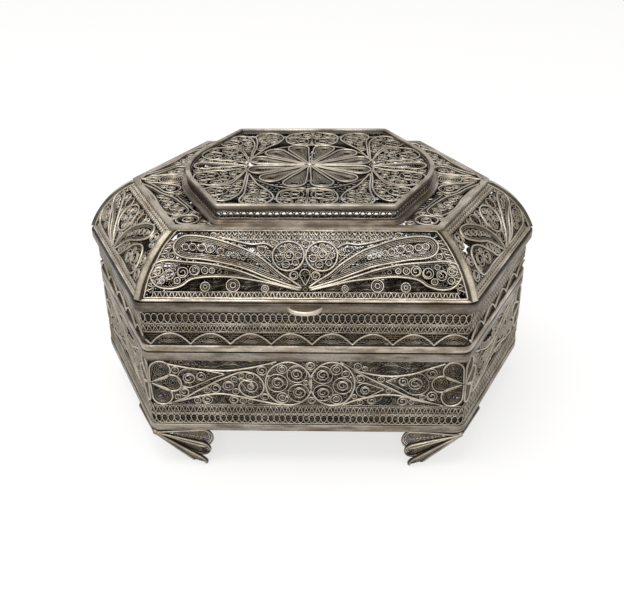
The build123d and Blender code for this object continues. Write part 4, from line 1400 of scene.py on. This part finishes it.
deck_low, deck_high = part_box("deck_panel")
deck_level = (deck_low.z + deck_high.z) / 2 / mm
deck_inset = 12.3
crown_edge_low, crown_edge_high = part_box("crown_rim")
crown_width = crown_edge_high.x / mm
crown_depth = -crown_edge_low.y / mm
crown_front = 21.9
crown_tip = crown_front + crown_depth * slant / wall_depth
crown_sweep = 30.0
crown_margin = 1.3
deck_disc = (crown_width + crown_margin + 3.2, 0.0)


def crown_outline(inset, step=0.3):
    """Face of the crown, its left and right points swept into long curves, at an inset from the rim."""
    front = crown_front - inset * (side_length - slant) / wall_depth
    depth = crown_depth - inset
    tip = crown_tip - inset * side_length / wall_depth
    corners = [(-front, -depth), (front, -depth), (tip, 0), (front, depth), (-front, depth), (-tip, 0)]
    corner, sweep = max(0.3, 1.5 - inset), crown_sweep - inset
    return rounded(corners, [corner, corner, sweep, corner, corner, sweep], step)


def four_ways(sheet):
    """Add the mirror images of a quarter drawing to its other three quarters."""
    for lines in sheet.values():
        for line, closed in list(lines):
            for facing in ((-1, 1), (1, -1), (-1, -1)):
                lines.append((line * np.array(facing), closed))


def deck_sheet():
    """Drawing of the deck: one quarter and its mirror images, then the discs left and right of the crown."""
    sheet = new_sheet()
    corners = [plan_corner(corner, deck_inset) for corner in range(6)]
    tip, front, depth = corners[2][0], corners[1][0], corners[3][1]
    teardrop = through([
        (45.6, 3.6), (42.2, 9.4), (39.8, 14), (37.8, 19), (35.8, 23), (33, 25.4), (30.4, 24.6), (30.0, 21.6),
        (32.4, 17.6), (35.2, 13.6), (38.6, 10.8), (42.0, 6.8),
    ], closed=True)
    round_lobe = drop((44.4, 2.4), (37.0, 7.6), 2.7, 0.5)
    low_lobe = ring((29.2, depth - 3.3), 2.8)
    for lobe, largest in ((teardrop, 1.1), (round_lobe, 1.2), (low_lobe, 1.3)):
        scroll_drop(sheet, lobe, largest)
    put(sheet, "frame", through([
        (tip - 0.4, 0.5), (44.6, 6.4), (41.4, 13), (38.9, 19), (35.4, 25), (32.4, 28.8),
    ]))
    put(sheet, "figure", through([
        (35.2, 10.6), (33.2, 14.2), (31.0, 18.0), (28.6, 22.0), (26.8, 24.6), (27.6, 26.2),
    ]))
    crescent = through([
        (45.4, 6.4), (42.6, 12.4), (40.2, 18.4), (37.0, 24.4), (34.4, 28.2), (36.8, 26.2), (41.4, 17.6),
        (45.0, 9.6),
    ], closed=True)
    field = even([
        (tip - 0.6, 0.3), (front + 0.2, depth - 0.4), (crown_front - 4, depth - 0.4), (crown_front - 4, 0.3),
    ], closed=True)
    gaps = [crown_outline(-crown_margin), crescent, ring(deck_disc, 3.4), round_lobe, teardrop, low_lobe]
    fill_field(sheet, field, largest=1.2, smallest=0.3, open_gaps=gaps)
    four_ways(sheet)
    for facing in (-1, 1):
        middle = (deck_disc[0] * facing, 0.0)
        put(sheet, "frame", ring(middle, 3.3), closed=True)
        put(sheet, "figure", coil(middle, 2.8, 0.0, 0.6))
        leaf = drop((facing * (tip - 0.5), 0.0), (facing * (deck_disc[0] + 4.9), 0.0), 1.2)
        put(sheet, "frame", leaf, closed=True)
        put(sheet, "fill", nested(leaf, 0.4), closed=True)
    twist_along(sheet, rounded(corners, [1.2] * 6, wire_step), closed=True)
    return sheet


solder_sheet("deck_filigree", "lid", deck_sheet(), on_level(deck_level), "deck_panel", depth=0.65)


# Crown: its flange carries an open lattice of crossed wires round a very bright strip that stands in for the
# light seen through the lattice, with the back wires in dark paint as painted shade; the lattice carries the
# plain rim. In the rim lies the top panel: drops that fan out left and right, and hearts of scrolls at the
# front and back.

lattice_low, lattice_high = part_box("crown_lattice")
lattice_rise = (lattice_high.z - lattice_low.z) / mm
lattice_inset = 0.5
lattice_pitch = 1.6
lattice_lean = 1.6
lattice_border = 0.12
lattice_rope = rope(0.15, 0.15, 4, lift=0.16, paint="fill")
# the back strands of the lattice take the dark paint as painted shade
lattice_back = rope(0.15, 0.15, 4, lift=0.0, paint="shade")
# very bright strip behind the lattice, standing in for light seen through it
light_backing_strip = rope(0.85, 0.06, 4, lift=-0.26, paint="lining")


def lattice_strands(length, rise, lean):
    """Straight wires that all lean the same way."""
    count = int(round(length / lattice_pitch))
    strands = []
    for x in np.arange(count) * length / count:
        strand = np.array([(x, 0.05), (x + lean / 2, rise / 2), (x + lean, rise - 0.05)])
        strands.append((strand, False))
    return strands


lattice_length, on_crown_side = around(crown_outline(lattice_inset), lattice_low.z / mm)
lattice_edges = [
    level_line(lattice_length, lattice_border),
    level_line(lattice_length, lattice_rise - lattice_border),
]
solder_wires(
    "crown_lattice_wires", "lid",
    [
        (lattice_rope, lattice_strands(lattice_length, lattice_rise, lattice_lean)),
        (lattice_back, lattice_strands(lattice_length, lattice_rise, -lattice_lean)),
        (light_backing_strip, [level_line(lattice_length, lattice_rise / 2, 0.6)]),
        (twist_rope, lattice_edges),
    ],
    on_crown_side,
    ["crown_lattice"],
)

crown_low, crown_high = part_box("crown_panel")
crown_level = (crown_low.z + crown_high.z) / 2 / mm
rosette_reach = 16.9


def crown_sheet():
    """Drawing of the top panel: one quarter and its mirror images, then the tongues left and right."""
    sheet = new_sheet()
    side = crown_width - 1.2
    for outline, discs in (
        ([(17.0, 1.9), (21, 3.7), (26.6, 4.6), (29.9, 6.9), (30.3, 10.4), (28.6, 13.8), (25.4, 14.9),
          (22, 14.0), (19.2, 10.4)],
         ((26.6, 8.0, 2.9), (27.7, 12.6, 1.5), (23.8, 12.7, 1.4), (22.2, 9.4, 1.6))),
        ([(16.9, 4.0), (16.6, 10), (16.5, 17), (17.6, 22.4), (20.0, 25.4), (22.8, 25.0), (25.6, 22.2),
          (26.6, 19), (25.2, 16.6), (22, 15.1), (19.2, 12.2)],
         ((22.8, 19.0, 2.7), (19.9, 23.5, 1.6), (23.4, 23.2, 1.2), (18.7, 18.6, 1.2), (18.4, 14.4, 1.1))),
        ([(16.0, 6.6), (13.4, 13.6), (10.0, 19.0), (8.4, 23.2), (9.6, 26.8), (12.6, 28.4), (15.4, 27.6),
          (16.6, 24.8), (15.9, 20.6), (15.8, 15)],
         ((11.4, 22.4, 2.1), (14.1, 25.6, 1.8), (11.0, 26.2, 1.2), (13.5, 18.8, 1.2))),
        ([(0.35, 17.9), (3.6, 17.6), (6.4, 19.0), (7.5, 22), (7.3, 25.4), (5.6, 27.9), (2.6, 28.7),
          (0.35, 28.7)],
         ((3.8, 21.1, 2.9), (4.9, 26.1, 1.6), (1.6, 26.4, 1.1))),
    ):
        outline = through(outline, closed=True)
        put(sheet, "frame", outline, closed=True)
        for number, (x, y, radius) in enumerate(discs):
            bubble(sheet, (x, y), radius, 1.3 * number)
        filled = [ring((x, y), radius) for x, y, radius in discs]
        fill_field(sheet, outline, largest=0.95, smallest=0.58, open_gaps=filled, fences=[outline, *filled])
    tongue = drop((17.0, 0.0), (side - 3.4, 0.0), 2.6)
    wedge = even([
        (17.4, 0.4), (21, 3.5), (26.6, 4.4), (29.9, 6.6), (side - 0.6, 6.4), (side - 0.3, 0.4),
    ], closed=True)
    fences = [wedge, tongue] + [line for line, _ in sheet["frame"]]
    fill_field(sheet, wedge, largest=1.0, smallest=0.3, open_gaps=[tongue], fences=fences)
    four_ways(sheet)
    for facing in (-1, 1):
        root = (17.2 * facing, 0)
        put(sheet, "figure", ring(root, 0.7), ring(root, 0.3), closed=True)
        outline = tongue * np.array([facing, 1])
        put(sheet, "frame", outline, closed=True)
        twist_along(sheet, nested(outline, 0.52), closed=True)
        put(sheet, "fill", nested(outline, 0.95), closed=True)
        put(sheet, "fill", *rungs((21 * facing, 0), ((side - 3.6) * facing, 0), 1.1))
    twist_along(sheet, crown_outline(1.4, wire_step), closed=True)
    put(sheet, "figure", ring((0, 0), rosette_reach + 0.5), closed=True)
    return sheet


solder_sheet(
    "crown_filigree", "lid", crown_sheet(), on_level(crown_level), "crown_panel", depth=0.55, width=0.76,
)


# Rosette: twelve narrow drops round a small ringed bead, each lined with serrated wire and open along
# its middle, where short rungs cross the slit.

rosette_level = crown_level + 0.08
rosette_petals = 12
petal_half_width = 2.95
# where the serrated rows of a petal lie between its rim and its middle
petal_rows = (0.18, 0.32, 0.46, 0.6)
rosette_bead_radius = 0.75


def rosette_sheet():
    """Drawing of the whole rosette."""
    sheet = new_sheet()
    head = rosette_reach - petal_half_width
    for number in range(rosette_petals):
        turn = 2 * pi * (number + 0.5) / rosette_petals
        turned = swing(-turn)
        put(sheet, "frame", drop((1.0, 0), (head, 0), petal_half_width) @ turned, closed=True)
        for share in petal_rows:
            row = drop((2.6 + 9.5 * share, 0), (head, 0), petal_half_width * (1 - share))
            put(sheet, "twist", even(row, closed=True, step=twist_step) @ turned, closed=True)
        slit = rungs((8.4, 0), (head - 0.5, 0), 0.9, 0.75)
        put(sheet, "fill", *[rung @ turned for rung in slit])
    put(sheet, "frame", ring((0, 0), 1.3), closed=True)
    return sheet


rosette_ropes = (
    ("frame", rope(0.23, 0.42, 6, lift=0.16)),
    ("figure", figure_rope),
    ("twist", rope(0.17, 0.22, 4, lift=0.0, bead=0.7, paint="twist")),
    ("fill", fill_rope),
)
rosette_parts = [
    loose_sheet(rosette_sheet(), on_level(rosette_level), rosette_ropes),
    bead((0, 0, rosette_level + 0.4), rosette_bead_radius, squash=0.7),
]
join("rosette_filigree", rosette_parts, "lid", ["rosette"])


# Hinge and thumb tab: three silver barrels on a pin at the back, and a small half-moon plate at the
# front of the eave, its rounded edge worn bright.

tab_silver = (0.58, 0.53, 0.44, 1)
tab_low, tab_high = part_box("thumb_tab")
tab_half = (tab_high.x - tab_low.x) / 2
tab_reach = tab_high.y - tab_low.y
tab_radius = (tab_half ** 2 + tab_reach ** 2) / (2 * tab_reach)
tab_middle = (0.0, tab_low.y + tab_radius, 0.0)
tab_edge = (tab_radius - 0.55 * mm, tab_radius - 0.25 * mm)


def plain_relief(tree, place):
    """Relief of a part that is proud all over."""
    return 1.0


def tab_relief(tree, place):
    """Relief of the tab: dull on its flat, bright along its rounded edge."""
    flat = add_node(tree, "ShaderNodeVectorMath", [(0, place), (1, (1.0, 1.0, 0.0))], operation="MULTIPLY")
    away = add_node(tree, "ShaderNodeVectorMath", [
        (0, flat.outputs[0]), (1, tab_middle),
    ], operation="DISTANCE")
    return fit(tree, away.outputs["Value"], *tab_edge)


hinge_paint = silver("hinge_silver_finish", aged_silver, dull_silver, plain_relief, patches=0.7)
for name in ("hinge_barrel_left", "hinge_barrel_right", "hinge_barrel_lid", "hinge_pin"):
    finish_node(name, hinge_paint)
finish_node("thumb_tab", silver(
    "thumb_tab_silver", tab_silver, hip_silver, tab_relief, patches=0.4, black=dull_silver,
))
